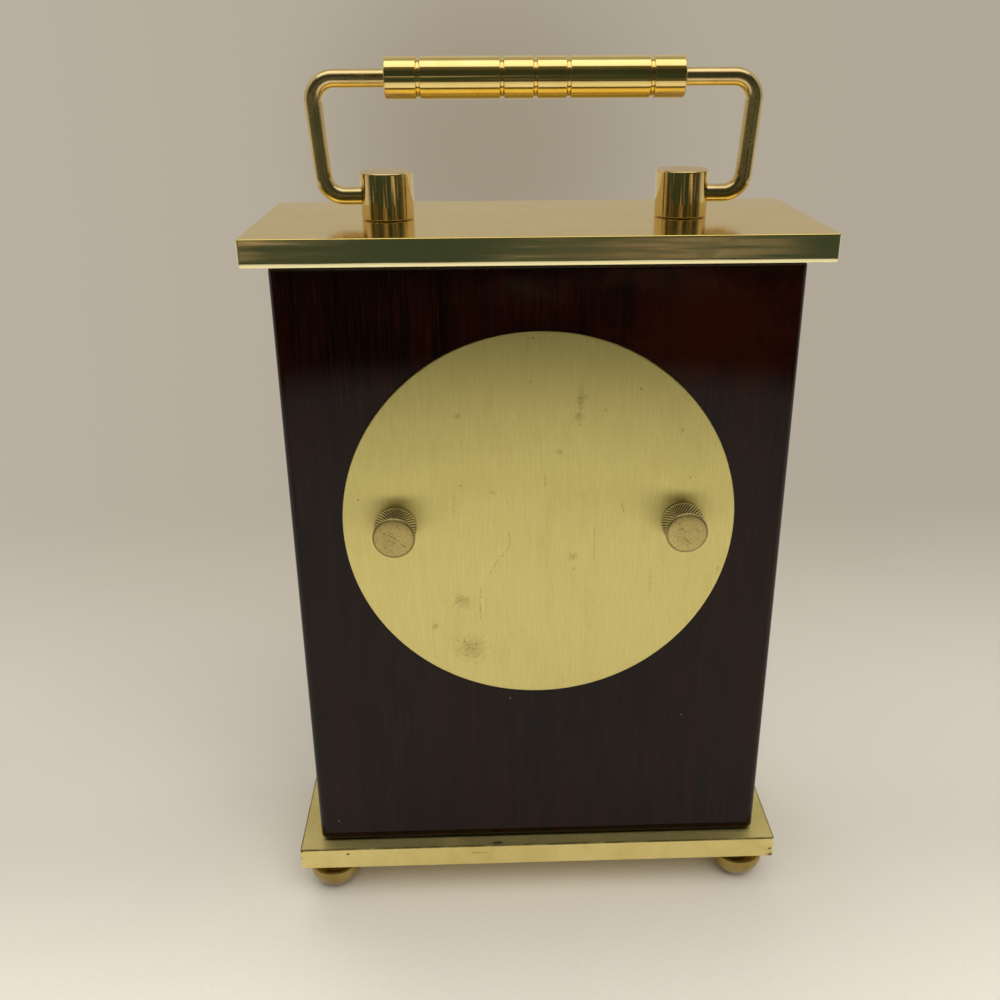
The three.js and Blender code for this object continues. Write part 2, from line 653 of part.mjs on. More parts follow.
function gripGeometry() {
  const half = GRIP_LENGTH / 2;
  const socketRadius = HANDLE_ROD_RADIUS + FIT_GAP;
  const socketEnd = half - GRIP_SOCKET - SEAT_GAP;
  const profile = [[0, -socketEnd], [socketRadius, -socketEnd], [socketRadius, -half]];
  profile.push([GRIP_RADIUS - GRIP_CHAMFER, -half], [GRIP_RADIUS, GRIP_CHAMFER - half]);
  const floor = GRIP_RADIUS - GROOVE_DEPTH;
  const outer = half - GROOVE_INSET;
  for (const place of [-outer, -GROOVE_SPACING, 0, GROOVE_SPACING, outer]) {
    profile.push([GRIP_RADIUS, place - GROOVE_WIDTH / 2], [floor, place - GROOVE_WIDTH / 4]);
    profile.push([floor, place + GROOVE_WIDTH / 4], [GRIP_RADIUS, place + GROOVE_WIDTH / 2]);
  }
  profile.push([GRIP_RADIUS, half - GRIP_CHAMFER], [GRIP_RADIUS - GRIP_CHAMFER, half]);
  profile.push([socketRadius, half], [socketRadius, socketEnd], [0, socketEnd]);
  return turned(profile, GRIP_SIDES).rotateY(Math.PI / 2);
}

// The group's origin is on the pivots' axis.
function addHandle() {
  const handle = new THREE.Group();
  handle.position.z = topPlateTop + pivotHeight;
  const legX = postX + POST_RADIUS + HANDLE_LEG_REACH;
  for (const [place, side] of SIDES) {
    const corners = [
      [postX + POST_RADIUS - HANDLE_ROD_IN_POST, 0],
      [legX, 0],
      [legX + HANDLE_LEG_LEAN, HANDLE_RISE],
      [GRIP_LENGTH / 2 - GRIP_SOCKET, HANDLE_RISE],
    ].map(([x, z]) => new THREE.Vector3(side * x, 0, z));
    const arm = bentRod(corners, HANDLE_ROD_RADIUS, HANDLE_BEND_RADIUS);
    addPiece(handle, `handle_arm_${place}`, arm, POLISHED_BRASS);
  }
  addPiece(handle, "handle_grip", gripGeometry(), POLISHED_BRASS).position.z = HANDLE_RISE;
  clock.add(handle);
}

// ---------------------------------------------------------------- dial side
// Here +Z runs to the rear, +Y is up, and 0 is the front face of the case at the dial's centre.

const insert = new THREE.Group();
insert.position.set(0, -CASE_DEPTH / 2, dialCentre);
insert.quaternion.setFromRotationMatrix(
  new THREE.Matrix4().makeBasis(
    new THREE.Vector3(-1, 0, 0),
    new THREE.Vector3(0, 0, 1),
    new THREE.Vector3(0, 1, 0),
  ),
);
clock.add(insert);

const lensRimFront = SEAT_GAP - BEZEL_LIP_BACK;
const lensRimBack = lensRimFront + LENS_THICKNESS;
const spacerFront = lensRimBack + SEAT_GAP;
const spacerBack = spacerFront + SPACER_LENGTH;
const dialFront = spacerBack + SEAT_GAP;
const dialBack = dialFront + DIAL_THICKNESS;
const platePlaneFront = dialBack + SEAT_GAP;
const platePlaneBack = platePlaneFront + MOVEMENT_PLATE_THICKNESS;
const housingFront = platePlaneBack + SEAT_GAP;

function addBezel() {
  const bezelRadius = caseBoreRadius + BEZEL_OVERLAP;
  const lipRadius = insideRadius - BEZEL_LIP_WIDTH;
  const shoulder = [];
  for (let i = 0; i <= BEZEL_CREST_STEPS; i += 1) {
    const angle = (Math.PI * i) / (2 * BEZEL_CREST_STEPS);
    const radius = bezelRadius - BEZEL_SHOULDER * (1 - Math.cos(angle));
    shoulder.push([radius, -THREE.MathUtils.lerp(BEZEL_EDGE_HEIGHT, BEZEL_RISE, Math.sin(angle))]);
  }
  const profile = [
    [sleeveOuter, -SEAT_GAP],
    [bezelRadius, -SEAT_GAP],
    ...shoulder,
    [lipRadius, -BEZEL_LIP_FRONT],
    [lipRadius, -BEZEL_LIP_BACK],
    [sleeveInner, -BEZEL_LIP_BACK],
    [sleeveInner, SLEEVE_DEPTH],
    [sleeveOuter, SLEEVE_DEPTH],
    [sleeveOuter, -SEAT_GAP],
  ];
  addPiece(insert, "bezel", turned(profile, DISC_SIDES), POLISHED_BRASS);
}

function addLens() {
  const crownRadius = insideRadius - LENS_RIM_WIDTH;
  const innerRadius = crownRadius - SEAT_GAP;
  const profile = [
    ...domePoints(crownRadius, lensRimFront, LENS_CROWN),
    [insideRadius, lensRimFront],
    [insideRadius, lensRimBack],
    ...domePoints(innerRadius, lensRimBack, LENS_CROWN).reverse(),
  ];
  addPiece(insert, "lens", turned(profile, DIAL_SIDES), GLASS);
}

function addSpacerRing() {
  const frontRadius = insideRadius - SPACER_FRONT_WIDTH;
  const backRadius = insideRadius - SPACER_BACK_WIDTH;
  const profile = [[frontRadius, spacerFront], [insideRadius, spacerFront], [insideRadius, spacerBack]];
  profile.push([backRadius, spacerBack], [frontRadius, spacerFront]);
  addPiece(insert, "spacer_ring", turned(profile, DIAL_SIDES), SATIN_BRASS);
}

function addDialStack() {
  const hole = bushRadius + FIT_GAP;
  addPiece(insert, "dial", ring(hole, insideRadius, dialFront, dialBack, DIAL_SIDES), DIAL_WHITE);
  const studHoles = SIDES.map(([, side]) =>
    bar(STUD_RADIUS + FIT_GAP, platePlaneFront - OVERCUT, platePlaneBack + OVERCUT, ROD_SIDES, side * studX),
  );
  const plate = ring(hole, insideRadius, platePlaneFront, platePlaneBack, DIAL_SIDES);
  addPiece(insert, "movement_plate", cut(plate, ...studHoles), STEEL);
  const ringFront = platePlaneBack + SEAT_GAP;
  const retaining = ring(
    insideRadius - RETAINING_RING_WIDTH,
    insideRadius,
    ringFront,
    ringFront + RETAINING_RING_THICKNESS,
    DIAL_SIDES,
  );
  addPiece(insert, "retaining_ring", retaining, STEEL);

  const washerBack = dialFront - SEAT_GAP;
  const washerFront = washerBack - WASHER_THICKNESS;
  const washer = ring(hole, WASHER_RADIUS, washerFront, washerBack, TURNED_SIDES);
  addPiece(insert, "dial_washer", washer, DULL_BRASS);
  const nutBack = washerFront - SEAT_GAP;
  const nut = bar(DIAL_NUT_RADIUS, nutBack - DIAL_NUT_THICKNESS, nutBack, HEX_SIDES);
  const nutBore = bar(hole, nutBack - DIAL_NUT_THICKNESS - OVERCUT, nutBack + OVERCUT, TURNED_SIDES);
  addPiece(insert, "dial_nut", cut(nut, nutBore), DULL_BRASS);
}

// ---------------------------------------------------------------- rear cover

const coverFront = CASE_DEPTH + SEAT_GAP;
const coverBack = coverFront + COVER_THICKNESS;
const thumbNutFront = coverBack + SEAT_GAP;

function thumbNutGeometry() {
  const back = thumbNutFront + THUMB_NUT_LENGTH;
  const bottom = thumbNutFront + STUD_IN_NUT + THUMB_NUT_BORE_SPARE;
  const boreRadius = STUD_RADIUS + FIT_GAP;
  const edge = THUMB_NUT_RADIUS - THUMB_NUT_CHAMFER;
  const profile = [[0, bottom], [boreRadius, bottom], [boreRadius, thumbNutFront], [edge, thumbNutFront]];
  profile.push([THUMB_NUT_RADIUS, thumbNutFront + THUMB_NUT_CHAMFER]);
  profile.push([THUMB_NUT_RADIUS, back - THUMB_NUT_CHAMFER], [edge, back], [0, back]);
  return turned(profile);
}

// The studs are at the dial centre's height. Left and right are as seen from the dial side.
function addRearCover() {
  const holes = SIDES.map(([, side]) =>
    bar(STUD_RADIUS + FIT_GAP, coverFront - OVERCUT, coverBack + OVERCUT, ROD_SIDES, side * studX),
  );
  const disc = bar(caseBoreRadius + COVER_OVERLAP, coverFront, coverBack, DISC_SIDES);
  addPiece(insert, "back_cover", cut(disc, ...holes), BRUSHED_BRASS);
  const nutFront = platePlaneBack + SEAT_GAP;
  const nutBack = nutFront + STUD_NUT_THICKNESS;
  for (const [place, side] of SIDES) {
    const x = -side * studX;
    const stud = bar(STUD_RADIUS, platePlaneFront, thumbNutFront + STUD_IN_NUT, ROD_SIDES);
    addPiece(insert, `stud_${place}`, stud, STEEL).position.x = x;
    const hex = bar(STUD_NUT_RADIUS, nutFront, nutBack, HEX_SIDES);
    const bore = bar(STUD_RADIUS + FIT_GAP, nutFront - OVERCUT, nutBack + OVERCUT, ROD_SIDES);
    addPiece(insert, `stud_nut_${place}`, cut(hex, bore), STEEL).position.x = x;
    addPiece(insert, `thumb_nut_${place}`, thumbNutGeometry(), DULL_BRASS).position.x = x;
  }
}

// ---------------------------------------------------------------- layers of the movement

const bushFront = dialFront - BUSH_RISE;
const insideFront = housingFront + HOUSING_WALL;

const layer = (front, thickness) => ({ front, back: front + thickness });
const hourLayer = layer(insideFront + HOUR_WHEEL_STANDOFF, MOTION_THICKNESS);
const motionLayer = layer(hourLayer.back + LAYER_SPACE, MOTION_THICKNESS);
const minuteLayer = layer(motionLayer.back + TRAIN_SPACE, WHEEL_THICKNESS);
const thirdLayer = layer(minuteLayer.back + TRAIN_SPACE, WHEEL_THICKNESS);
const secondsLayer = layer(thirdLayer.back + SECONDS_SPACE, WHEEL_THICKNESS);
const fifthLayer = layer(secondsLayer.back + TRAIN_SPACE, WHEEL_THICKNESS);
const bridgeLayer = layer(fifthLayer.back + TRAIN_SPACE, BRIDGE_THICKNESS);
const magnetLayer = layer(secondsLayer.back - MAGNET_LENGTH, MAGNET_LENGTH);
const boardLayer = layer(bridgeLayer.back + SEAT_GAP, BOARD_THICKNESS);
const crystalLayer = layer(boardLayer.back + SEAT_GAP, 2 * CRYSTAL_RADIUS);
const batteryLayer = layer(insideFront + BATTERY_SIDE_GAP, 2 * BATTERY_RADIUS);
const housingBack = Math.max(crystalLayer.back, batteryLayer.back) + 2 * SEAT_GAP;
const movementCoverFront = housingBack + SEAT_GAP;
const movementCoverBack = movementCoverFront + MOVEMENT_COVER_THICKNESS;
const arborBack = bridgeLayer.back - END_GAP;
const thirdPivot = minuteLayer.front - END_GAP; // the rear ends of the posts that carry the arbors
const fifthPivot = secondsLayer.front - END_GAP;
const rotorPivot = magnetLayer.front - END_GAP;

const radiansOf = THREE.MathUtils.degToRad;
const facing = (degrees) => radiansOf(degrees + 180);

// ---------------------------------------------------------------- hands

const hourHandBack = bushFront - END_GAP;
const hourHandFront = hourHandBack - HAND_THICKNESS;
const hourTubeFront = hourHandFront - HAND_PROUD;
const minuteHandBack = hourHandFront - HAND_SPACE;
const minuteHandFront = minuteHandBack - HAND_THICKNESS;
const secondsHandBack = minuteHandFront - HAND_SPACE;
const secondsHandFront = secondsHandBack - HAND_THICKNESS;

// A leaf-shaped blade along +Y from the middle of its hub.
function bladeOutline(length, width) {
  const shape = new THREE.Shape();
  const root = HAND_ROOT_SHARE * width;
  const belly = new THREE.Vector2(HAND_BELLY_SHARE * width, HAND_BELLY_PLACE * length);
  shape.moveTo(-root, 0);
  shape.quadraticCurveTo(-belly.x, belly.y, 0, length);
  shape.quadraticCurveTo(belly.x, belly.y, root, 0);
  return shape;
}

function handGeometry(length, width, holeRadius, front, back) {
  const hub = bar(holeRadius + HAND_HUB_WALL, front, back, TURNED_SIDES);
  const hole = bar(holeRadius, front - OVERCUT, back + OVERCUT, ROD_SIDES);
  const blade = sheet(bladeOutline(length, width), front, back, 2 * CORNER_STEPS);
  return cut(joined(hub, blade), hole);
}

function addHands() {
  const turns = {
    hour: (SHOWN_HOURS + SHOWN_MINUTES / 60) / 12,
    minute: (SHOWN_MINUTES + SHOWN_SECONDS / 60) / 60,
    seconds: SHOWN_SECONDS / 60,
  };
  const hour = handGeometry(
    insideRadius - HOUR_HAND_INSET,
    HOUR_HAND_WIDTH,
    hourTubeRadius + RUN_GAP,
    hourHandFront,
    hourHandBack,
  );
  addPiece(insert, "hour_hand", hour, BLACK_HANDS).rotation.z = turns.hour * 2 * Math.PI;
  const minute = handGeometry(
    insideRadius - MINUTE_HAND_INSET,
    MINUTE_HAND_WIDTH,
    cannonRadius + RUN_GAP,
    minuteHandFront,
    minuteHandBack,
  );
  addPiece(insert, "minute_hand", minute, BLACK_HANDS).rotation.z = turns.minute * 2 * Math.PI;
  const half = SECONDS_HAND_WIDTH / 2;
  const needle = block(
    [-half, half],
    [-SECONDS_HAND_TAIL, insideRadius - SECONDS_HAND_INSET],
    [secondsHandFront, secondsHandBack],
  );
  const hub = bar(SECONDS_HUB_RADIUS, secondsHandFront, secondsHandBack, TURNED_SIDES);
  const holeRadius = ARBOR_RADIUS + RUN_GAP;
  const hole = bar(holeRadius, secondsHandFront - OVERCUT, secondsHandBack + OVERCUT, SMALL_SIDES);
  const seconds = cut(joined(needle, hub), hole);
  addPiece(insert, "seconds_hand", seconds, POLISHED_BRASS).rotation.z = turns.seconds * 2 * Math.PI;
}

// ---------------------------------------------------------------- wheel train

function addMotionWork() {
  const cannonDirection = radiansOf(MOTION_ANGLE);
  const hourGear = gear(
    HOUR_TEETH,
    hourModule,
    gapTowards(cannonDirection, HOUR_TEETH),
    hourLayer.front,
    hourLayer.back,
  );
  const hourTube = bar(hourTubeRadius, hourTubeFront, hourLayer.front + LAP, TURNED_SIDES);
  const hourBore = bar(hourTubeBoreRadius, hourTubeFront - OVERCUT, hourLayer.back + OVERCUT, TURNED_SIDES);
  addPiece(insert, "hour_wheel", cut(joined(hourGear, hourTube), hourBore), WHITE_PLASTIC);

  const cannonFront = minuteHandFront - HAND_PROUD;
  const cannonBack = minuteLayer.back + END_GAP;
  const cannon = joined(
    gear(CANNON_TEETH, MOTION_MODULE, cannonDirection, motionLayer.front, motionLayer.back),
    bar(cannonRadius, cannonFront, motionLayer.front + LAP, TURNED_SIDES),
    bar(cannonTailRadius, motionLayer.back - LAP, cannonBack, TURNED_SIDES),
  );
  const cannonBore = bar(cannonBoreRadius, cannonFront - OVERCUT, cannonBack + OVERCUT, SMALL_SIDES);
  addPiece(insert, "minute_cannon", cut(cannon, cannonBore), WHITE_PLASTIC);

  const pinionPhase = facing(MOTION_ANGLE);
  const wheelPhase = gapTowards(pinionPhase, MOTION_TEETH);
  const motion = joined(
    gear(MOTION_TEETH, MOTION_MODULE, wheelPhase, motionLayer.front, motionLayer.back),
    gear(MOTION_PINION_TEETH, hourModule, pinionPhase, hourLayer.front, motionLayer.front + LAP),
  );
  const motionBore = bar(
    MOTION_POST_RADIUS + RUN_GAP,
    hourLayer.front - OVERCUT,
    motionLayer.back + OVERCUT,
    ROD_SIDES,
  );
  const motionWheel = addPiece(insert, "motion_wheel", cut(motion, motionBore), WHITE_PLASTIC);
  motionWheel.position.set(motionAxis.x, motionAxis.y, 0);

  const knobFront = movementCoverBack + 2 * SEAT_GAP;
  const knob = joined(
    gear(SET_KNOB_TEETH, MOTION_MODULE, facing(MOTION_ANGLE), motionLayer.front, motionLayer.back),
    bar(SET_SHAFT_RADIUS, insideFront + SEAT_GAP, knobFront + LAP, ROD_SIDES),
    bar(SET_KNOB_RADIUS, knobFront, knobFront + SET_KNOB_THICKNESS, TURNED_SIDES),
  );
  addPiece(insert, "set_knob", knob, BLACK_PLASTIC).position.set(setAxis.x, setAxis.y, 0);
}

function addGoingTrain() {
  const minuteGear = gear(
    MINUTE_DRIVE_TEETH,
    minuteModule,
    gapTowards(radiansOf(THIRD_ANGLE), MINUTE_DRIVE_TEETH),
    minuteLayer.front,
    minuteLayer.back,
  );
  const minuteBore = bar(
    cannonTailRadius + RUN_GAP,
    minuteLayer.front - OVERCUT,
    minuteLayer.back + OVERCUT,
    TURNED_SIDES,
  );
  addPiece(insert, "minute_drive_wheel", cut(minuteGear, minuteBore), WHITE_PLASTIC);

  const thirdPhase = gapTowards(facing(THIRD_ANGLE), THIRD_TEETH);
  const third = joined(
    gear(LEAVES, minuteModule, facing(THIRD_ANGLE), minuteLayer.front, thirdLayer.front + LAP),
    gear(THIRD_TEETH, THIRD_MODULE, thirdPhase, thirdLayer.front, thirdLayer.back),
    bar(ARBOR_RADIUS, thirdPivot - PIVOT_DEPTH, arborBack, SMALL_SIDES),
  );
  addPiece(insert, "third_wheel", third, WHITE_PLASTIC).position.set(thirdAxis.x, thirdAxis.y, 0);

  const secondsPhase = gapTowards(radiansOf(FIFTH_ANGLE), SECONDS_TEETH);
  const seconds = joined(
    gear(LEAVES, THIRD_MODULE, radiansOf(THIRD_ANGLE), thirdLayer.front, secondsLayer.front + LAP),
    gear(SECONDS_TEETH, SECONDS_MODULE, secondsPhase, secondsLayer.front, secondsLayer.back),
    bar(ARBOR_RADIUS, secondsHandFront - HAND_PROUD, arborBack, SMALL_SIDES),
  );
  addPiece(insert, "seconds_wheel", seconds, WHITE_PLASTIC);

  const fifthPhase = gapTowards(radiansOf(ROTOR_ANGLE), FIFTH_TEETH);
  const fifth = joined(
    gear(LEAVES, SECONDS_MODULE, facing(FIFTH_ANGLE), secondsLayer.front, fifthLayer.front + LAP),
    gear(FIFTH_TEETH, FIFTH_MODULE, fifthPhase, fifthLayer.front, fifthLayer.back),
    bar(ARBOR_RADIUS, fifthPivot - PIVOT_DEPTH, arborBack, SMALL_SIDES),
  );
  addPiece(insert, "fifth_wheel", fifth, WHITE_PLASTIC).position.set(fifthAxis.x, fifthAxis.y, 0);

  const rotor = joined(
    bar(MAGNET_RADIUS, magnetLayer.front, magnetLayer.back, TURNED_SIDES),
    gear(LEAVES, FIFTH_MODULE, facing(ROTOR_ANGLE), magnetLayer.back - LAP, fifthLayer.back),
    bar(ARBOR_RADIUS, rotorPivot - PIVOT_DEPTH, arborBack, SMALL_SIDES),
  );
  addPiece(insert, "rotor", rotor, STEEL).position.set(rotorAxis.x, rotorAxis.y, 0);
}

// ---------------------------------------------------------------- motor and circuit

const stator = {
  left: rotorAxis.x - STATOR_LEFT,
  right: rotorAxis.x + STATOR_RIGHT,
  bottom: rotorAxis.y - STATOR_BELOW,
  top: rotorAxis.y + STATOR_ABOVE,
};
const statorBack = magnetLayer.back - (MAGNET_LENGTH - STATOR_THICKNESS) / 2;
const statorFront = statorBack - STATOR_THICKNESS;
const barBottom = stator.top - STATOR_BAR;

function rectangle(left, right, bottom, top) {
  const corners = [[left, bottom], [right, bottom], [right, top], [left, top]];
  return new THREE.Shape(corners.map(([x, y]) => new THREE.Vector2(x, y)));
}

function addMotor() {
  const outline = rectangle(stator.left, stator.right, stator.bottom, stator.top);
  const windowLeft = stator.left + STATOR_LEG;
  const windowRight = stator.right - STATOR_LEG;
  outline.holes.push(rectangle(windowLeft, windowRight, barBottom - STATOR_WINDOW, barBottom));
  const rotorHole = new THREE.Path();
  rotorHole.absarc(rotorAxis.x, rotorAxis.y, MAGNET_RADIUS + STATOR_GAP, 0, 2 * Math.PI);
  outline.holes.push(rotorHole);
  addPiece(insert, "stator", sheet(outline, statorFront, statorBack, SMALL_SIDES), STEEL);

  const middle = (statorFront + statorBack) / 2;
  const x = [windowLeft + COIL_END_GAP, windowRight - COIL_END_GAP];
  const outside = block(
    x,
    [barBottom - SEAT_GAP - COIL_WALL, stator.top + SEAT_GAP + COIL_WALL],
    [middle - COIL_DEPTH / 2, middle + COIL_DEPTH / 2],
  );
  const inside = block(
    [x[0] - OVERCUT, x[1] + OVERCUT],
    [barBottom - SEAT_GAP, stator.top + SEAT_GAP],
    [statorFront - SEAT_GAP, statorBack + SEAT_GAP],
  );
  addPiece(insert, "coil", cut(outside, inside), COPPER);
}

const bridgePosts = BRIDGE_POST_PLACES.map(([x, y]) => new THREE.Vector2(x, y));

function addBridgeAndCircuit() {
  const xs = bridgePosts.map((post) => post.x);
  const ys = bridgePosts.map((post) => post.y);
  const bridge = {
    left: Math.min(...xs) - BRIDGE_MARGIN,
    right: Math.max(...xs) + BRIDGE_MARGIN,
    bottom: Math.min(...ys) - BRIDGE_MARGIN,
    top: Math.max(...ys) + BRIDGE_MARGIN,
  };
  const plate = sheet(
    rectangle(bridge.left, bridge.right, bridge.bottom, bridge.top),
    bridgeLayer.front,
    bridgeLayer.back,
  );
  const holes = [new THREE.Vector2(), thirdAxis, fifthAxis, rotorAxis].map(({ x, y }) =>
    bar(ARBOR_RADIUS + RUN_GAP, bridgeLayer.front - OVERCUT, bridgeLayer.back + OVERCUT, SMALL_SIDES, x, y),
  );
  addPiece(insert, "train_bridge", cut(plate, ...holes), WHITE_PLASTIC);

  const board = block(
    [bridge.right - BOARD_WIDTH, bridge.right],
    [bridge.bottom, bridge.bottom + BOARD_HEIGHT],
    [boardLayer.front, boardLayer.back],
  );
  addPiece(insert, "circuit_board", board, BOARD_GREEN);
  const can = bar(CRYSTAL_RADIUS, 0, CRYSTAL_LENGTH, ROD_SIDES).rotateY(Math.PI / 2);
  const crystal = addPiece(insert, "crystal", can, STEEL);
  crystal.position.set(
    bridge.right - BOARD_WIDTH / 2,
    bridge.bottom + BOARD_HEIGHT - 2 * CRYSTAL_RADIUS,
    crystalLayer.front + CRYSTAL_RADIUS,
  );
}

// ---------------------------------------------------------------- battery and housing

function addBattery() {
  const batteryZ = batteryLayer.front + BATTERY_RADIUS;
  const profile = [[0, 0], [BATTERY_RADIUS, 0], [BATTERY_RADIUS, BATTERY_LENGTH]];
  profile.push([BATTERY_NUB_RADIUS, BATTERY_LENGTH], [BATTERY_NUB_RADIUS, batteryWhole], [0, batteryWhole]);
  const cell = turned(profile).rotateY(Math.PI / 2).translate(-batteryWhole / 2, 0, 0);
  addPiece(insert, "battery", cell, BATTERY_LABEL).position.set(0, batteryY, batteryZ);
  for (const [pole, side] of [["positive", 1], ["negative", -1]]) {
    const plate = block(
      [halfInside - SEAT_GAP - CONTACT_THICKNESS, halfInside - SEAT_GAP],
      [-CONTACT_SIZE / 2, CONTACT_SIZE / 2],
      [-CONTACT_SIZE / 2, CONTACT_SIZE / 2],
    );
    const boss = bar(CONTACT_BOSS_RADIUS, batteryWhole / 2 + SEAT_GAP, halfInside - 2 * SEAT_GAP, ROD_SIDES);
    const contact = joined(plate, boss.rotateY(Math.PI / 2)).rotateZ(side > 0 ? 0 : Math.PI);
    addPiece(insert, `battery_contact_${pole}`, contact, STEEL).position.set(0, batteryY, batteryZ);
  }
}

function addHousing() {
  const insideHeight = insideTop - insideBottom;
  const middle = (insideTop + insideBottom) / 2;
  const outline = roundedRectangle(2 * halfHousing, insideHeight + 2 * HOUSING_WALL, HOUSING_CORNER);
  const outside = sheet(outline, housingFront, housingBack).translate(0, middle, 0);
  const insideOutline = roundedRectangle(2 * halfInside, insideHeight, HOUSING_INSIDE_CORNER);
  const inside = sheet(insideOutline, insideFront, housingBack + OVERCUT).translate(0, middle, 0);
  const divider = block(
    [-halfInside - LAP, halfInside + LAP],
    [dividerBottom, dividerBottom + DIVIDER_WALL],
    [insideFront - LAP, housingBack],
  );
  const post = ({ x, y }, radius, back) => bar(radius, insideFront - LAP, back, SMALL_SIDES, x, y);
  const pivots = [
    [thirdAxis, thirdPivot],
    [fifthAxis, fifthPivot],
    [rotorAxis, rotorPivot],
  ];
  const statorSupports = [stator.left + STATOR_LEG / 2, stator.right - STATOR_LEG / 2].map((x) =>
    post({ x, y: barBottom - STATOR_WINDOW }, BRIDGE_POST_RADIUS, statorFront - SEAT_GAP),
  );
  const filled = joined(
    cut(outside, inside),
    divider,
    bar(bushRadius, bushFront, insideFront, TURNED_SIDES),
    post(motionAxis, MOTION_POST_RADIUS, motionLayer.back + END_GAP),
    ...bridgePosts.map((place) => post(place, BRIDGE_POST_RADIUS, bridgeLayer.front - SEAT_GAP)),
    ...pivots.map(([axis, back]) => post(axis, PIVOT_POST_RADIUS, back)),
    ...statorSupports,
  );
  const pivotHoles = pivots.map(([{ x, y }, back]) =>
    bar(ARBOR_RADIUS + RUN_GAP, back - PIVOT_DEPTH - END_GAP, back + OVERCUT, SMALL_SIDES, x, y),
  );
  const bore = bar(bushBoreRadius, bushFront - OVERCUT, insideFront + OVERCUT, TURNED_SIDES);
  addPiece(insert, "movement_housing", cut(filled, bore, ...pivotHoles), BLACK_PLASTIC);

  const whole = sheet(outline, movementCoverFront, movementCoverBack).translate(0, middle, 0);
  const belowDivider = block(
    [-housingReach, housingReach],
    [-housingReach, dividerBottom],
    [movementCoverFront - OVERCUT, movementCoverBack + OVERCUT],
  );
  const knobHole = bar(
    SET_SHAFT_RADIUS + RUN_GAP,
    movementCoverFront - OVERCUT,
    movementCoverBack + OVERCUT,
    ROD_SIDES,
    setAxis.x,
    setAxis.y,
  );
  addPiece(insert, "movement_cover", cut(whole, belowDivider, knobHole), BLACK_PLASTIC);
}

addFeet();
addBasePlate();
addBaseScrews();
addCase();
addTopPlate();
addPosts();
addHandle();
addBezel();
addLens();
addSpacerRing();
addDialStack();
addRearCover();
addHands();
addMotionWork();
addGoingTrain();
addMotor();
addBridgeAndCircuit();
addBattery();
addHousing();

export default clock;
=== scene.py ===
"""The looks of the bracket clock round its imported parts: brass, lacquered wood, glass and the dial."""

import math

import bmesh
import bpy
from mathutils import Matrix, Vector


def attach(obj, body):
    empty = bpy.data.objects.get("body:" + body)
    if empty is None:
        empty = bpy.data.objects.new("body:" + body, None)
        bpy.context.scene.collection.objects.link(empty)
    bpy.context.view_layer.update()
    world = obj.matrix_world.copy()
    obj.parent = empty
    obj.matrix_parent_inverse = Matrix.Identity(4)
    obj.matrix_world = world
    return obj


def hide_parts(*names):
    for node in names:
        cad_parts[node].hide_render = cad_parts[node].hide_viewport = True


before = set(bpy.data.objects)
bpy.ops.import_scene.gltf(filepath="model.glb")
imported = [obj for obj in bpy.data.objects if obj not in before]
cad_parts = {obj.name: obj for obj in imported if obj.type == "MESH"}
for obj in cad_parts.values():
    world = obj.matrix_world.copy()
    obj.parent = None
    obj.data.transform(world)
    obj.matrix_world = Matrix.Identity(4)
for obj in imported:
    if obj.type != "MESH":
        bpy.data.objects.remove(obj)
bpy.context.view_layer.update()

# ---- sizes, in millimetres, in the row frame

MM = 0.001
ON_AXIS = 1e-6
PLATE_HALF = (63.5, 27.5)
PLATE_CORNER = 0.6
PLATE_EDGE = 0.3
BASE_PLATE = (10.3, 16.4)
TOP_PLATE = (170.0, 176.0)
CASE_HALF = (58.3, 24.0)
CASE = (16.6, 169.8)
CASE_CORNER = 2.0
CASE_EDGE = 1.4
DIAL_Z = 109.3
BORE_RADIUS = 42.5
CORNERS = (("front_left", -1, -1), ("front_right", 1, -1), ("rear_left", -1, 1), ("rear_right", 1, 1))
FOOT_PLACES = [(name, 55.6 * x, 19.6 * y) for name, x, y in CORNERS]
SCREW_PLACES = [(name, 35 * x, 12 * y) for name, x, y in CORNERS]
FOOT_RADIUS = 7.0
FOOT_CENTRE = 6.7
FOOT_SHOULDER = 7.5
FOOT_TOP = 10.1
FOOT_NECK_RADIUS = 3.2
FOOT_STUD_RADIUS = 1.5
FOOT_STUD_TOP = 14.1
STUD_HOLE_RADIUS = 1.75
SCREW_HOLE_RADIUS = 2.05
SCREW_HEAD_RADIUS = 3.85
SCREW_HOLE_TOP = 32.7
INSERT_HOLE_RADIUS = 4.75
INSERT_HOLE_BOTTOM = 155.6
SHANK_RADIUS = 2.5
SHANK_HOLE_RADIUS = 2.75
SHANK_LENGTH = 18.2
POST_RADIUS = 6.0
PIVOT_HOLE_RADIUS = 2.2
SOCKET_RADIUS = 2.25
GROOVE_DEPTH = 0.4
POST_X = 33.8
POST_BOTTOM = 176.2
POST_HEIGHT = 10.2
PIVOT_Z = 181.1
HANDLE_RISE = 24.9
ROD_RADIUS = 2.0
LEG_X = 47.7
LEG_LEAN = 1.75
ROD_START = 32.8
ROD_END = 24.1
SOCKET_END = 23.9
BEND_RADIUS = 4.75
GRIP_HALF = 33.1
GRIP_RADIUS = 4.5
GROOVES = (-25.7, -7.33, 0.0, 7.33, 25.7)
COVER_RADIUS = 46.0
COVER = (24.2, 25.2)
STUD_X = 33.7
NUT = (25.4, 32.2)
NUT_RADIUS = 5.0
NUT_HOLE_END = 30.4
DIAL_FACE = -21.4
INSERT_FACE = -24.0
BEZEL_RADIUS = 49.0
SLEEVE = (41.2, 42.2)
DIAL_RADIUS = 41.0
SIDES = (("left", -1), ("right", 1))


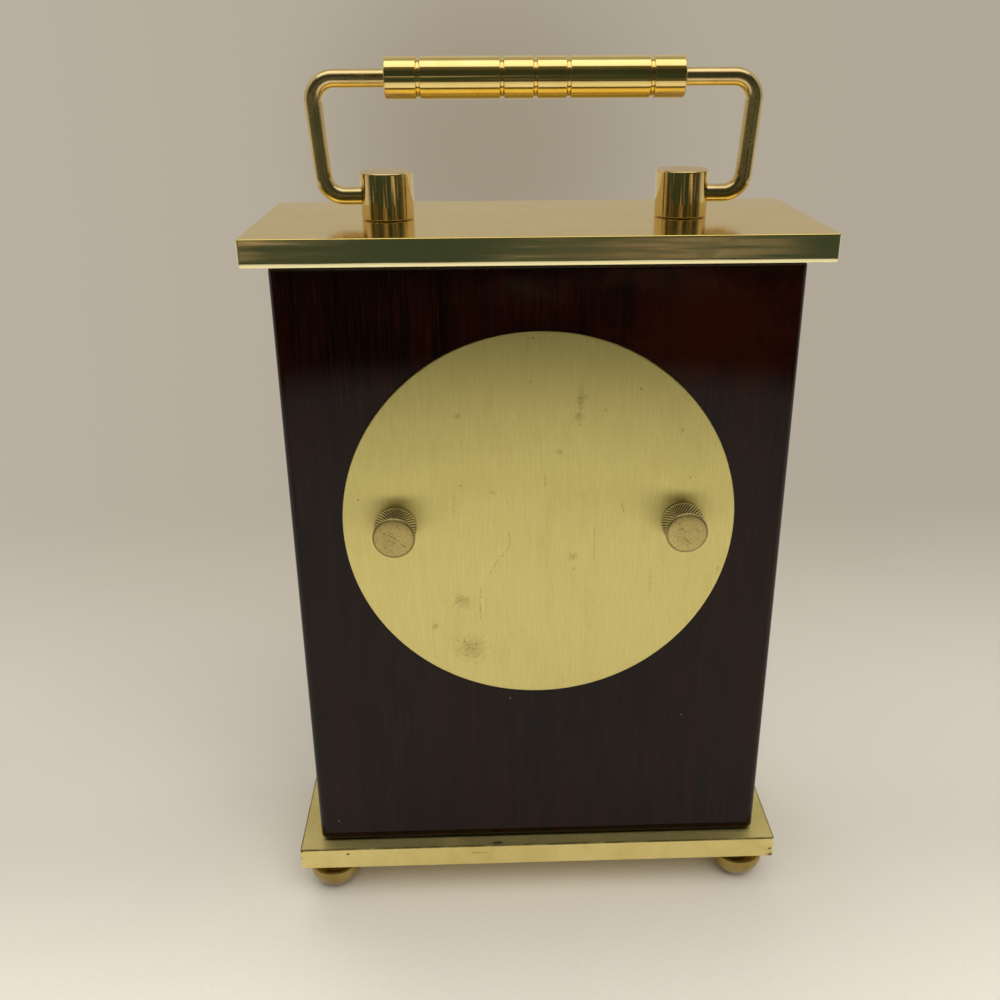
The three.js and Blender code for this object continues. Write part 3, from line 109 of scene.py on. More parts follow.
def arc(centre_r, centre_h, radius, start, end, steps):
    """Points on an arc of a profile, with angles in degrees from the radial direction."""
    points = []
    for i in range(steps + 1):
        angle = math.radians(start + (end - start) * i / steps)
        points.append((centre_r + radius * math.cos(angle), centre_h + radius * math.sin(angle)))
    return points


def soften(corners, steps=5, closed=False):
    """A line through (x, y) or (x, y, radius) corners, with the given radii as arcs."""
    points = []
    count = len(corners)
    for i, corner in enumerate(corners):
        place = Vector(corner[:2])
        radius = corner[2] if len(corner) > 2 else 0
        if not radius or (not closed and i in (0, count - 1)):
            points.append(tuple(place))
            continue
        into = (place - Vector(corners[i - 1][:2])).normalized()
        out = (Vector(corners[(i + 1) % count][:2]) - place).normalized()
        turn = into.angle(out)
        start = place - into * radius * math.tan(turn / 2)
        inward = (out - into * into.dot(out)).normalized()
        for k in range(steps + 1):
            angle = turn * k / steps
            ahead = into * math.sin(angle) + inward * (1 - math.cos(angle))
            points.append(tuple(start + ahead * radius))
    return points


# ---- meshes

def make(name, vertices, faces):
    """A mesh object in millimetres, with its shared corners joined and its faces turned outwards."""
    mesh = bpy.data.meshes.new(name)
    mesh.from_pydata([tuple(v) for v in vertices], [], faces)
    shape = bmesh.new()
    shape.from_mesh(mesh)
    bmesh.ops.remove_doubles(shape, verts=shape.verts, dist=1e-5)
    bmesh.ops.recalc_face_normals(shape, faces=shape.faces)
    shape.to_mesh(mesh)
    shape.free()
    made = bpy.data.objects.new(name, mesh)
    bpy.context.scene.collection.objects.link(made)
    return made


def skin(rows, closed=False):
    """Vertices and faces of a skin over rows of points. A row of one point closes the skin there."""
    vertices = []
    starts = []
    for row in rows:
        starts.append(len(vertices))
        vertices.extend(row)
    faces = []
    pairs = list(zip(range(len(rows)), range(1, len(rows))))
    if closed:
        pairs.append((len(rows) - 1, 0))
    for a, b in pairs:
        count = max(len(rows[a]), len(rows[b]))
        for i in range(count):
            j = (i + 1) % count
            face = []
            for row, places in ((a, (i, j)), (b, (j, i))):
                for place in places if len(rows[row]) > 1 else (0,):
                    face.append(starts[row] + place)
            if len(face) > 2:
                faces.append(face)
    return vertices, faces, starts


def on_axis(axis, centre, a, b, h):
    """A point at a, b across and h along the named axis."""
    x, y, z = centre
    if axis == "Z":
        return (x + a, y + b, z + h)
    if axis == "Y":
        return (x + a, y + h, z + b)
    return (x + h, y + a, z + b)


def circle(axis, centre, radius, height, sides):
    """A ring of points about an axis, or its one point on the axis."""
    if radius < ON_AXIS:
        return [on_axis(axis, centre, 0, 0, height)]
    turns = [2 * math.pi * k / sides for k in range(sides)]
    return [on_axis(axis, centre, radius * math.cos(t), radius * math.sin(t), height) for t in turns]


def lathe(name, profile, sides=96, axis="Z", centre=(0, 0, 0)):
    """Turns a profile of (radius, height) about an axis. It starts and ends there, or closes on itself."""
    rows = [circle(axis, centre, radius, height, sides) for radius, height in profile]
    vertices, faces, _ = skin(rows, closed=profile[0][0] > ON_AXIS)
    return make(name, vertices, faces)


def drill(radius, start, end, centre, sides=48, axis="Z"):
    """A round tool between two heights, for carve."""
    return lathe("tool", [(0, start), (radius, start), (radius, end), (0, end)], sides, axis, centre)


def rounded_rectangle(half_x, half_y, radius, steps):
    points = []
    for side_x, side_y, start in ((1, 1, 0), (-1, 1, 90), (-1, -1, 180), (1, -1, 270)):
        for k in range(steps + 1):
            angle = math.radians(start + 90 * k / steps)
            x = side_x * (half_x - radius) + radius * math.cos(angle)
            points.append((x, side_y * (half_y - radius) + radius * math.sin(angle)))
    return points


def slab(name, half, levels, corner, edge, steps=4, corner_steps=6, lower=None):
    """A plate between two heights with round upright corners and softly rounded edges.

    lower gives the width and the height of the lower edge's rounding where it differs from the upper one.
    """
    low, high = levels
    turns = [math.pi / 2 * k / steps for k in range(steps + 1)]
    lower_width, lower_height = lower or (edge, edge)
    rings = [(lower_width * (1 - math.sin(t)), low + lower_height * (1 - math.cos(t))) for t in turns]
    rings += [(edge * (1 - math.sin(t)), high - edge * (1 - math.cos(t))) for t in reversed(turns)]
    rows = []
    for inset, height in rings:
        outline = rounded_rectangle(half[0] - inset, half[1] - inset, corner - inset, corner_steps)
        rows.append([(x, y, height) for x, y in outline])
    vertices, faces, starts = skin(rows)
    count = len(rows[0])
    faces.append(list(range(count)))
    faces.append([starts[-1] + k for k in range(count)])
    return make(name, vertices, faces)


def prism(name, outlines, levels, place):
    """Flat pieces of the given outlines. place(x, y, level) gives the point."""
    vertices = []
    faces = []
    for outline in outlines:
        base = len(vertices)
        count = len(outline)
        for level in levels:
            vertices.extend(place(x, y, level) for x, y in outline)
        faces.append([base + k for k in range(count)])
        faces.append([base + count + k for k in range(count)])
        for k in range(count):
            j = (k + 1) % count
            faces.append([base + k, base + j, base + count + j, base + count + k])
    return make(name, vertices, faces)


def apply_modifiers(piece):
    graph = bpy.context.evaluated_depsgraph_get()
    mesh = bpy.data.meshes.new_from_object(piece.evaluated_get(graph))
    piece.modifiers.clear()
    piece.data = mesh


def carve(piece, tools):
    """Cuts the tools out of the piece."""
    for tool in tools:
        modifier = piece.modifiers.new("cut", "BOOLEAN")
        modifier.operation = "DIFFERENCE"
        modifier.solver = "EXACT"
        modifier.object = tool
    apply_modifiers(piece)
    for tool in tools:
        bpy.data.objects.remove(tool)


def round_edges(piece, width):
    """Rounds every edge sharper than 40 degrees."""
    modifier = piece.modifiers.new("round", "BEVEL")
    modifier.width = width
    modifier.segments = 2
    modifier.limit_method = "ANGLE"
    modifier.angle_limit = math.radians(40)
    apply_modifiers(piece)


def settle(piece, body, material, nodes=(), crease=38):
    """Brings a finished mesh to metres, gives it its material and lets it ride on its body."""
    piece.data.transform(Matrix.Scale(MM, 4))
    piece.data.materials.clear()
    piece.data.materials.append(material)
    piece.data.shade_smooth()
    piece.data.set_sharp_from_angle(angle=math.radians(crease))
    weighted = piece.modifiers.new("normals", "WEIGHTED_NORMAL")
    weighted.keep_sharp = True
    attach(piece, body)
    if nodes:
        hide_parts(*nodes)
    return piece


# ---- materials

class Nodes:
    """A node tree. Its calls add one node each and return that node's output."""

    def __init__(self, tree):
        self.nodes = tree.nodes
        self.links = tree.links

    def fill(self, socket, value):
        if isinstance(value, bpy.types.NodeSocket):
            self.links.new(value, socket)
        else:
            socket.default_value = value

    def node(self, kind, inputs=None, **settings):
        made = self.nodes.new(kind)
        for key, value in settings.items():
            setattr(made, key, value)
        for key, value in (inputs or {}).items():
            self.fill(made.inputs[key], value)
        return made

    def remap(self, value, low, high, to_low=0.0, to_high=1.0):
        inputs = {"Value": value, "From Min": low, "From Max": high, "To Min": to_low, "To Max": to_high}
        return self.node("ShaderNodeMapRange", inputs, interpolation_type="SMOOTHSTEP").outputs[0]

    def maths(self, operation, a, b=0.0):
        return self.node("ShaderNodeMath", {0: a, 1: b}, operation=operation).outputs[0]

    def times(self, a, b):
        return self.maths("MULTIPLY", a, b)

    def plus(self, a, b):
        return self.maths("ADD", a, b)

    def less(self, a, b):
        return self.maths("SUBTRACT", a, b)

    def most(self, a, b):
        return self.maths("MAXIMUM", a, b)

    def length(self, across, along):
        squares = self.plus(self.maths("POWER", across, 2.0), self.maths("POWER", along, 2.0))
        return self.maths("SQRT", squares)

    def vector(self, operation, a, b=(0, 0, 0)):
        """Vector arithmetic. A length, distance or dot product comes back as a number."""
        inputs = {0: a, "Scale" if operation == "SCALE" else 1: b}
        result = "Value" if operation in ("LENGTH", "DISTANCE", "DOT_PRODUCT") else "Vector"
        return self.node("ShaderNodeVectorMath", inputs, operation=operation).outputs[result]

    def part(self, vector, axis):
        return self.node("ShaderNodeSeparateXYZ", {"Vector": vector}).outputs[axis]

    def mix(self, share, a, b):
        made = self.node("ShaderNodeMix", data_type="RGBA")
        self.fill(made.inputs[0], share)
        for socket, value in ((made.inputs[6], a), (made.inputs[7], b)):
            self.fill(socket, (*value, 1) if isinstance(value, tuple) else value)
        return made.outputs[2]


class Surface(Nodes):
    """A node material round one Principled shader."""

    def __init__(self, name, **values):
        self.material = bpy.data.materials.new(name)
        self.material.use_nodes = True
        super().__init__(self.material.node_tree)
        self.shader = self.nodes["Principled BSDF"]
        for key, value in values.items():
            self.shader.inputs[key.replace("_", " ")].default_value = value
        self.coordinates = self.nodes.new("ShaderNodeTexCoord").outputs["Object"]

    def space(self, x=1.0, y=1.0, z=1.0, move=(0, 0, 0)):
        """The place on the object in millimetres, divided by the given lengths."""
        scale = (1 / (x * MM), 1 / (y * MM), 1 / (z * MM))
        inputs = {"Vector": self.coordinates, "Scale": scale, "Location": move}
        return self.node("ShaderNodeMapping", inputs).outputs[0]

    def noise(self, vector, detail=2.0, rough=0.5, warp=0.0):
        inputs = {"Vector": vector, "Scale": 1.0, "Detail": detail, "Roughness": rough, "Distortion": warp}
        return self.node("ShaderNodeTexNoise", inputs).outputs[0]

    def cells(self, vector):
        return self.node("ShaderNodeTexVoronoi", {"Vector": vector, "Scale": 1.0}).outputs["Distance"]

    def bump(self, height, depth, strength):
        """A bump whose depth is in millimetres."""
        inputs = {"Height": height, "Distance": depth * MM, "Strength": strength}
        return self.node("ShaderNodeBump", inputs).outputs[0]

    def use(self, **sockets):
        for key, value in sockets.items():
            self.links.new(value, self.shader.inputs[key.replace("_", " ")])
        return self.material


def near(surface, places, size, softness=0.3, ragged=1.0):
    """Spots on an upright face, from (x, z, half width, half height) in millimetres, with ragged edges."""
    wobble = surface.noise(surface.space(size, size, size), 4, 0.75)
    ragged_edge = surface.remap(wobble, 0.3, 0.7, 1 - 0.5 * ragged, 1 + 0.8 * ragged)
    x = surface.part(surface.space(), "X")
    z = surface.part(surface.space(), "Z")
    total = None
    for place_x, place_z, half_x, half_z in places:
        across = surface.maths("DIVIDE", surface.less(x, place_x), half_x)
        along = surface.maths("DIVIDE", surface.less(z, place_z), half_z)
        apart = surface.length(across, along)
        spot = surface.remap(surface.times(apart, ragged_edge), softness, 1.0, 1, 0)
        total = spot if total is None else surface.most(total, spot)
    return total


def hairs(surface, lines, width, wander=0.3):
    """Thin wandering scratches on an upright face, along lines of (x, z) points in millimetres."""
    place = surface.space()
    inputs = {"Vector": place, "Scale": 0.45, "Detail": 2.0}
    sway = surface.node("ShaderNodeTexNoise", inputs).outputs["Color"]
    sway = surface.vector("SCALE", surface.vector("SUBTRACT", sway, (0.5, 0.5, 0.5)), 2 * wander)
    flat = surface.vector("MULTIPLY", surface.vector("ADD", place, sway), (1, 0, 1))
    total = None
    for line in lines:
        for (ax, az), (bx, bz) in zip(line, line[1:]):
            length = math.hypot(bx - ax, bz - az)
            along = ((bx - ax) / length, 0, (bz - az) / length)
            here = surface.vector("SUBTRACT", flat, (ax, 0, az))
            reach = surface.vector("DOT_PRODUCT", here, along)
            held = surface.node("ShaderNodeClamp", {0: reach, 1: 0.0, 2: length}).outputs[0]
            apart = surface.vector("DISTANCE", here, surface.vector("SCALE", along, held))
            mark = surface.remap(apart, width * 0.3, width, 1, 0)
            total = mark if total is None else surface.most(total, mark)
    return total


def brass(name, colour, deep, roughness, hairline, wear, hairline_axes=(40, 40, 0.25), detail=None):
    """Polished or satin brass: faint colour clouds, fine hairlines, dull fingermarks and a few tiny pits.

    detail is a function that adds what one piece has of its own to the tone, roughness and height.
    """
    metal = Surface(name, Metallic=1.0)
    clouds = metal.noise(metal.space(9, 9, 9), 4, 0.55, 0.4)
    fine = metal.noise(metal.space(1.1, 1.1, 1.1), 3, 0.6)
    lines = metal.noise(metal.space(*hairline_axes), 2, 0.6)
    marks = metal.remap(metal.noise(metal.space(14, 14, 14, move=(3, 1, 7)), 5, 0.65, 0.8), 0.52, 0.7)
    pits = metal.remap(metal.cells(metal.space(3.1, 3.1, 3.1)), 0.03, 0.055, 1, 0)
    tone = metal.mix(metal.remap(clouds, 0.3, 0.7), colour, deep)
    tone = metal.mix(metal.times(metal.remap(fine, 0.45, 0.75), 0.25 * wear), tone, deep)
    tone = metal.mix(metal.times(pits, 0.5 * wear), tone, (0.12, 0.07, 0.03))
    rough = metal.plus(metal.times(marks, 0.1 * wear), roughness)
    rough = metal.plus(rough, metal.remap(lines, 0.35, 0.7, 0, 0.04 * wear + hairline * 0.2))
    height = metal.plus(metal.times(lines, hairline), metal.times(fine, 0.04 * wear))
    if detail:
        tone, rough, height = detail(metal, tone, rough, height)
    normal = metal.bump(height, 0.02, 0.35)
    return metal.use(Base_Color=tone, Roughness=rough, Normal=normal)


def waved_edge_painted_sheen(metal, tone, rough, height):
    """The polished edge isn't quite flat: long shallow waves draw its reflections into streaks. Below the top
    face the plate is painted paler, as painted sheen.
    """
    waves = metal.noise(metal.space(45, 45, 3.2), 2, 0.4)
    side = metal.remap(metal.part(metal.space(), "Z"), TOP_PLATE[1] - 0.4, TOP_PLATE[1] - 0.1, 1, 0)
    rough = metal.less(rough, metal.times(side, 0.06))
    # painted sheen: below the top face the plate's colour is paler than on top
    tone = metal.mix(side, tone, (0.95, 0.89, 0.53))
    return tone, rough, metal.plus(height, metal.times(waves, 8.0))


def grip_underside_painted_shade(metal, tone, rough, height):
    """The grip's underside is painted darker and browner, as painted shade, and made rougher; anything lower in
    this material, such as the dial surround, gets the same darker tone.
    """
    axis_z = PIVOT_Z + HANDLE_RISE
    # painted shade: darker towards the grip's underside
    under = metal.remap(metal.part(metal.space(), "Z"), axis_z - 3.2, axis_z - 1.6, 0.55, 0)
    return metal.mix(under, tone, (0.36, 0.23, 0.07)), metal.plus(rough, metal.times(under, 0.2)), height


def handled_base(metal, tone, rough, height):
    """A dark line along the upper arris, a nick, a short scratch, a drop mark and dull corners."""
    place = metal.space()
    x, y, z = (metal.part(place, axis) for axis in "XYZ")
    outer = metal.most(*(metal.remap(metal.maths("ABSOLUTE", part), half - 0.5, half - 0.25)
                         for part, half in zip((x, y), PLATE_HALF)))
    arris = metal.times(outer, metal.remap(z, BASE_PLATE[1] - 0.4, BASE_PLATE[1] - 0.2))
    patchy = metal.remap(metal.noise(metal.space(5, 5, 5), 3, 0.6), 0.3, 0.6, 0.45, 0.9)
    tone = metal.mix(metal.times(arris, patchy), tone, (0.16, 0.115, 0.035))
    rear = metal.remap(y, PLATE_HALF[1] - 0.3, PLATE_HALF[1] - 0.1)
    nick = near(metal, [(50.9, 14.9, 0.7, 0.35)], 0.6, 0.5, 0.5)
    corners = [(63.3, 16.0, 0.9, 0.7), (63.4, 13.6, 0.5, 0.8), (-63.0, 10.9, 1.2, 0.7), (-62.4, 12.9, 0.6, 0.4)]
    worn = near(metal, corners, 0.9, 0.2)
    scratch = hairs(metal, [[(17.9, 14.2), (15.6, 14.05), (13.9, 14.15)]], 0.14)
    dark = metal.most(nick, metal.most(worn, metal.times(scratch, 0.5)))
    tone = metal.mix(metal.times(dark, metal.times(rear, 0.9)), tone, (0.05, 0.035, 0.012))
    across = metal.maths("DIVIDE", metal.less(x, 10.9), 1.6)
    along = metal.maths("DIVIDE", metal.less(y, 26.4), 0.55)
    drop = metal.plus(metal.maths("POWER", across, 2.0), metal.maths("POWER", along, 2.0))
    above = metal.remap(z, BASE_PLATE[1] - 0.1, BASE_PLATE[1] - 0.02)
    drop = metal.times(metal.remap(drop, 0.5, 1.1, 0.75, 0), above)
    return metal.mix(drop, tone, (0.05, 0.035, 0.015)), rough, height


def post_top(metal, tone, rough, height):
    """The posts' ends are left satin, with the turning's fine rings."""
    place = metal.space()
    across = metal.less(metal.maths("ABSOLUTE", metal.part(place, "X")), POST_X)
    apart = metal.length(across, metal.part(place, "Y"))
    rings = metal.remap(metal.maths("SINE", metal.times(apart, 21.0)), -1, 1)
    post_end = POST_BOTTOM + POST_HEIGHT
    top = metal.remap(metal.part(place, "Z"), post_end - 0.12, post_end - 0.04)
    tone = metal.mix(metal.times(top, 0.75), tone, (0.72, 0.59, 0.38))
    rough = metal.plus(rough, metal.times(top, 0.25))
    return tone, rough, metal.plus(height, metal.times(metal.times(rings, top), 0.25))


def nut_wear_and_painted_light(metal, tone, rough, height):
    """Dirt in the knurling's grooves, painted glints on the knurling's ridges, scratches and specks on the
    nuts' ends, and a ring of painted shade round each end's edge.
    """
    place = metal.space()
    across = metal.less(metal.maths("ABSOLUTE", metal.part(place, "X")), STUD_X)
    along = metal.less(metal.part(place, "Z"), DIAL_Z)
    apart = metal.length(across, along)
    end = metal.remap(metal.part(place, "Y"), NUT[1] - 0.2, NUT[1] - 0.05)
    side = metal.less(1.0, end)
    # painted glints: the knurling's ridges are painted pale
    tips = metal.times(metal.remap(apart, NUT_RADIUS - 0.16, NUT_RADIUS - 0.03), side)
    tone = metal.mix(tips, tone, (1.0, 0.9, 0.55))
    rough = metal.plus(rough, metal.times(tips, 0.2))
    groove = metal.remap(apart, NUT_RADIUS - 0.32, NUT_RADIUS - 0.12, 0.95, 0)
    tone = metal.mix(metal.times(groove, side), tone, (0.075, 0.05, 0.012))
    # painted shade: a dark ring round the edge of each nut's end
    rim = metal.remap(apart, NUT_RADIUS - 0.75, NUT_RADIUS - 0.5, 0, 0.6)
    specks = metal.remap(metal.noise(metal.space(0.5, 0.5, 0.5), 4, 0.75), 0.53, 0.66, 0, 0.65)
    scores = hairs(metal, [[(35.9, 110.9), (33.4, 109.3), (31.2, 107.3)], [(34.9, 109.0), (33.6, 108.2)],
                           [(-32.0, 110.6), (-34.4, 109.4)], [(-33.1, 108.4), (-34.2, 107.2)]], 0.26, 0.5)
    broken = metal.remap(metal.noise(metal.space(0.4, 0.4, 0.4), 3, 0.7), 0.42, 0.58)
    scores = metal.times(scores, broken)
    # real specks and scores, and the painted shade ring, all darken the ends
    worn = metal.most(metal.most(specks, rim), metal.times(scores, 0.85))
    tone = metal.mix(metal.times(worn, end), tone, (0.2, 0.145, 0.055))
    turning = metal.maths("SINE", metal.times(apart, 26.0))
    height = metal.plus(height, metal.times(metal.times(turning, end), 0.15))
    return tone, rough, metal.less(height, metal.times(scores, 1.5))


def lacquered_wood():
    """Dark reddish wood with upright grain under a thick gloss lacquer."""
    wood = Surface("lacquered_wood", Coat_Weight=1.0, Coat_Roughness=0.035, Coat_IOR=1.31,
                   Specular_IOR_Level=0.0)
    grain = wood.noise(wood.space(0.45, 0.45, 12), 4, 0.6, 0.25)
    bands = wood.noise(wood.space(8, 8, 80), 3, 0.55, 0.9)
    pores = wood.noise(wood.space(0.14, 0.14, 1.8), 2, 0.6)
    tone = wood.mix(wood.remap(bands, 0.35, 0.68), (0.0024, 0.0005, 0.0003), (0.0085, 0.0012, 0.0004))
    tone = wood.mix(wood.remap(grain, 0.45, 0.72, 0, 0.8), tone, (0.016, 0.0026, 0.0009))
    tone = wood.mix(wood.remap(pores, 0.56, 0.72, 0, 0.8), tone, (0.0012, 0.0003, 0.0002))
    tone = wood.mix(near(wood, [(-40, 156, 34, 30)], 12, 0.1), tone, (0.016, 0.0026, 0.0009))
    swell = wood.noise(wood.space(26, 26, 40), 2, 0.5)
    dust = wood.remap(wood.cells(wood.space(15, 15, 15)), 0.008, 0.014, 1, 0)
    tone = wood.mix(wood.times(dust, 0.6), tone, (0.3, 0.27, 0.22))
    height = wood.plus(swell, wood.times(dust, 0.15))
    return wood.use(
        Base_Color=tone,
        Roughness=wood.remap(grain, 0.3, 0.7, 0.34, 0.5),
        Normal=wood.bump(pores, 0.01, 0.3),
        Coat_Normal=wood.bump(height, 0.05, 0.5),
    )


# Marks on the rear cover, seen from behind: x, z, half width and half height in millimetres.
COVER_SPOTS = (
    (18.4, 136.2, 1.3, 1.6), (2.0, 143.9, 0.5, 0.5), (-9.2, 139.6, 1.6, 3.4), (-8.8, 135.6, 1.8, 2.6),
    (-4.4, 127.2, 1.5, 0.9), (18.2, 119.3, 0.9, 0.6), (10.8, 117.4, 1.3, 0.6), (-14.9, 137.1, 0.6, 0.8),
    (-32.6, 132.1, 0.9, 1.2), (-8.0, 100.7, 1.6, 1.4), (-8.2, 97.4, 0.7, 0.6), (18.6, 89.2, 3.4, 2.4),
    (25.5, 82.2, 1.3, 1.3), (18.3, 77.8, 1.1, 2.2), (16.6, 76.0, 5.5, 5.0), (-43.0, 96.9, 0.5, 0.6))
COVER_LINES = (
    ((7.3, 107.9), (7.0, 105.4), (7.6, 102.9), (9.2, 100.6), (11.0, 98.2), (12.0, 95.8)),
    ((-13.0, 108.2), (-13.1, 99.4)), ((-19.4, 115.6), (-19.6, 112.0)), ((19.9, 117.4), (19.9, 112.4)),
    ((-1.2, 121.8), (-1.3, 118.6)), ((14.2, 92.6), (14.3, 84.0)), ((-26.8, 95.0), (-26.9, 91.0)))


def brushed_brass():
    """The rear cover: fine upright brushing, with a few stains and scratches in the lacquer."""
    metal = Surface("brushed_brass", Metallic=1.0, Anisotropic=0.9)
    tangent = metal.node("ShaderNodeTangent", direction_type="UV_MAP")
    tangent.uv_map = "UVMap"
    fine = metal.noise(metal.space(0.07, 4, 7), 3, 0.7)
    broad = metal.noise(metal.space(0.7, 4, 45), 3, 0.6)
    grit = metal.noise(metal.space(0.3, 4, 0.5), 2, 0.6)
    scratches = metal.remap(metal.noise(metal.space(0.13, 4, 5, move=(4, 0, 2)), 1, 0.5), 0.66, 0.76)
    smears = metal.noise(metal.space(9, 4, 26, move=(2, 0, 5)), 5, 0.65, 0.5)
    dark_strokes = metal.remap(metal.noise(metal.space(0.22, 4, 8, move=(1, 0, 9)), 2, 0.5), 0.66, 0.78)
    clouds = metal.noise(metal.space(16, 16, 22), 4, 0.6)
    tone = metal.mix(metal.remap(fine, 0.3, 0.7), (0.63, 0.555, 0.2), (0.725, 0.655, 0.275))
    tone = metal.mix(metal.remap(broad, 0.4, 0.7, 0, 0.3), tone, (0.645, 0.57, 0.21))
    tone = metal.mix(metal.remap(grit, 0.56, 0.75, 0, 0.4), tone, (0.55, 0.48, 0.18))
    tone = metal.mix(metal.times(scratches, 0.3), tone, (0.9, 0.83, 0.45))
    tone = metal.mix(metal.times(dark_strokes, 0.3), tone, (0.42, 0.34, 0.14))
    tone = metal.mix(metal.remap(smears, 0.5, 0.72, 0, 0.35), tone, (0.58, 0.48, 0.17))
    stain = near(metal, COVER_SPOTS, 0.8, 0.1)
    dots = metal.remap(metal.cells(metal.space(0.75, 4, 0.75)), 0.18, 0.42, 1, 0)
    dots = metal.plus(metal.times(dots, 0.4), 0.3)
    stain = metal.times(stain, dots)
    tone = metal.mix(stain, tone, (0.2, 0.14, 0.04))
    lines = hairs(metal, COVER_LINES, 0.13, 0.5)
    broken = metal.remap(metal.noise(metal.space(0.9, 0.9, 0.9), 2, 0.6), 0.4, 0.6, 0.05, 0.7)
    lines = metal.times(lines, broken)
    tone = metal.mix(lines, tone, (0.2, 0.14, 0.045))
    pits = metal.remap(metal.cells(metal.space(7, 7, 7)), 0.02, 0.035, 0.8, 0)
    tone = metal.mix(pits, tone, (0.07, 0.045, 0.02))
    rough = metal.remap(clouds, 0.3, 0.7, 0.35, 0.39)
    height = metal.plus(metal.times(fine, 0.5), metal.times(scratches, -0.6))
    metal.links.new(tangent.outputs[0], metal.shader.inputs["Tangent"])
    return metal.use(Base_Color=tone, Roughness=rough, Normal=metal.bump(height, 0.01, 0.4))


def clear_glass():
    """Window glass. Light passes it without a shadow, so that the dial behind it stays lit."""
    glass = Surface("lens_glass", Transmission_Weight=1.0, IOR=1.5)
    smears = glass.noise(glass.space(18, 18, 18), 4, 0.6, 1.0)
    rough = glass.remap(smears, 0.45, 0.75, 0.0, 0.03)
    tone = glass.mix(glass.remap(smears, 0.3, 0.7), (0.97, 0.99, 0.98), (0.99, 1.0, 0.99))
    glass.use(Base_Color=tone, Roughness=rough)
    path = glass.node("ShaderNodeLightPath").outputs["Is Shadow Ray"]
    clear = glass.node("ShaderNodeBsdfTransparent").outputs[0]
    both = glass.node("ShaderNodeMixShader", {0: path, 1: glass.shader.outputs[0], 2: clear})
    glass.links.new(both.outputs[0], glass.nodes["Material Output"].inputs["Surface"])
    return glass.material


def painted(name, colour, deep, roughness, grain, depth):
    """Paint, plastic or paper: a fine texture, soft colour clouds and slightly uneven gloss."""
    coat = Surface(name)
    fine = coat.noise(coat.space(grain, grain, grain), 3, 0.6)
    clouds = coat.noise(coat.space(11, 11, 11), 3, 0.55)
    tone = coat.mix(coat.remap(clouds, 0.3, 0.7), colour, deep)
    tone = coat.mix(coat.remap(fine, 0.5, 0.75, 0, 0.35), tone, deep)
    rough = coat.remap(fine, 0.3, 0.7, roughness * 0.85, roughness * 1.15)
    return coat.use(Base_Color=tone, Roughness=rough, Normal=coat.bump(fine, depth, 0.5))


def wound_copper():
    """Enamelled copper wire, wound in fine turns across the bobbin, each turn painted pale on its crown and
    dark where it meets the next, as painted light and shade.
    """
    wire = Surface("copper_winding", Metallic=1.0)
    along = wire.part(wire.space(), "X")
    turns = wire.maths("ABSOLUTE", wire.maths("SINE", wire.times(along, 14.0)))
    # painted light and shade across each turn: pale on its crown, dark where it meets the next
    tone = wire.mix(turns, (0.28, 0.075, 0.03), (0.72, 0.27, 0.11))
    clouds = wire.noise(wire.space(2.5, 2.5, 2.5), 3, 0.5)
    tone = wire.mix(wire.remap(clouds, 0.4, 0.7, 0, 0.4), tone, (0.5, 0.16, 0.06))
    rough = wire.remap(turns, 0, 1, 0.45, 0.28)
    return wire.use(Base_Color=tone, Roughness=rough, Normal=wire.bump(turns, 0.06, 0.8))


def battery_wrap():
    """The cell's plain printed sleeve: two colours with a pale band, and no lettering."""
    wrap = Surface("battery_label", Coat_Weight=0.4, Coat_Roughness=0.2)
    along = wrap.part(wrap.space(), "X")
    first = wrap.remap(along, 11.9, 12.1)
    band = wrap.times(wrap.remap(along, 9.9, 10.1), wrap.remap(along, 11.9, 12.1, 1, 0))
    tone = wrap.mix(first, (0.04, 0.085, 0.2), (0.5, 0.34, 0.09))
    tone = wrap.mix(band, tone, (0.6, 0.6, 0.58))
    fine = wrap.noise(wrap.space(1.5, 1.5, 1.5), 3, 0.6)
    tone = wrap.mix(wrap.remap(fine, 0.45, 0.8, 0, 0.2), tone, (0.02, 0.03, 0.06))
    return wrap.use(Base_Color=tone, Roughness=wrap.remap(fine, 0.3, 0.7, 0.32, 0.42))


def circuit_green():
    """Green solder resist with faint straight tracks beneath it."""
    board = Surface("board_green", Coat_Weight=0.5, Coat_Roughness=0.15)
    x = board.part(board.space(), "X")
    z = board.part(board.space(), "Z")
    tracks = board.maths("SINE", board.times(board.plus(x, board.times(z, 0.5)), 4.2))
    tone = board.mix(board.remap(tracks, 0.55, 0.7), (0.012, 0.085, 0.035), (0.03, 0.17, 0.07))
    fine = board.noise(board.space(0.7, 0.7, 0.7), 2, 0.5)
    tone = board.mix(board.remap(fine, 0.5, 0.8, 0, 0.4), tone, (0.008, 0.05, 0.02))
    return board.use(Base_Color=tone, Roughness=board.remap(fine, 0.3, 0.7, 0.4, 0.55),
                     Normal=board.bump(tracks, 0.02, 0.4))


ALONG_X = (60, 0.3, 40)
UPRIGHT = (40, 40, 0.3)
TOP_BRASS = brass("top_plate_brass", (0.89, 0.69, 0.215), (0.85, 0.65, 0.185), 0.12, 0.1, 0.5, ALONG_X,
                  waved_edge_painted_sheen)
BASE_BRASS = brass("base_plate_brass", (0.96, 0.84, 0.39), (0.89, 0.765, 0.335), 0.56, 0.3, 1.0, ALONG_X,
                   handled_base)
SHINY_BRASS = brass("polished_brass", (0.83, 0.64, 0.27), (0.76, 0.55, 0.2), 0.05, 0.02, 0.5, UPRIGHT)
POST_BRASS = brass("post_brass", (0.83, 0.64, 0.27), (0.74, 0.53, 0.19), 0.06, 0.04, 0.7, UPRIGHT, post_top)
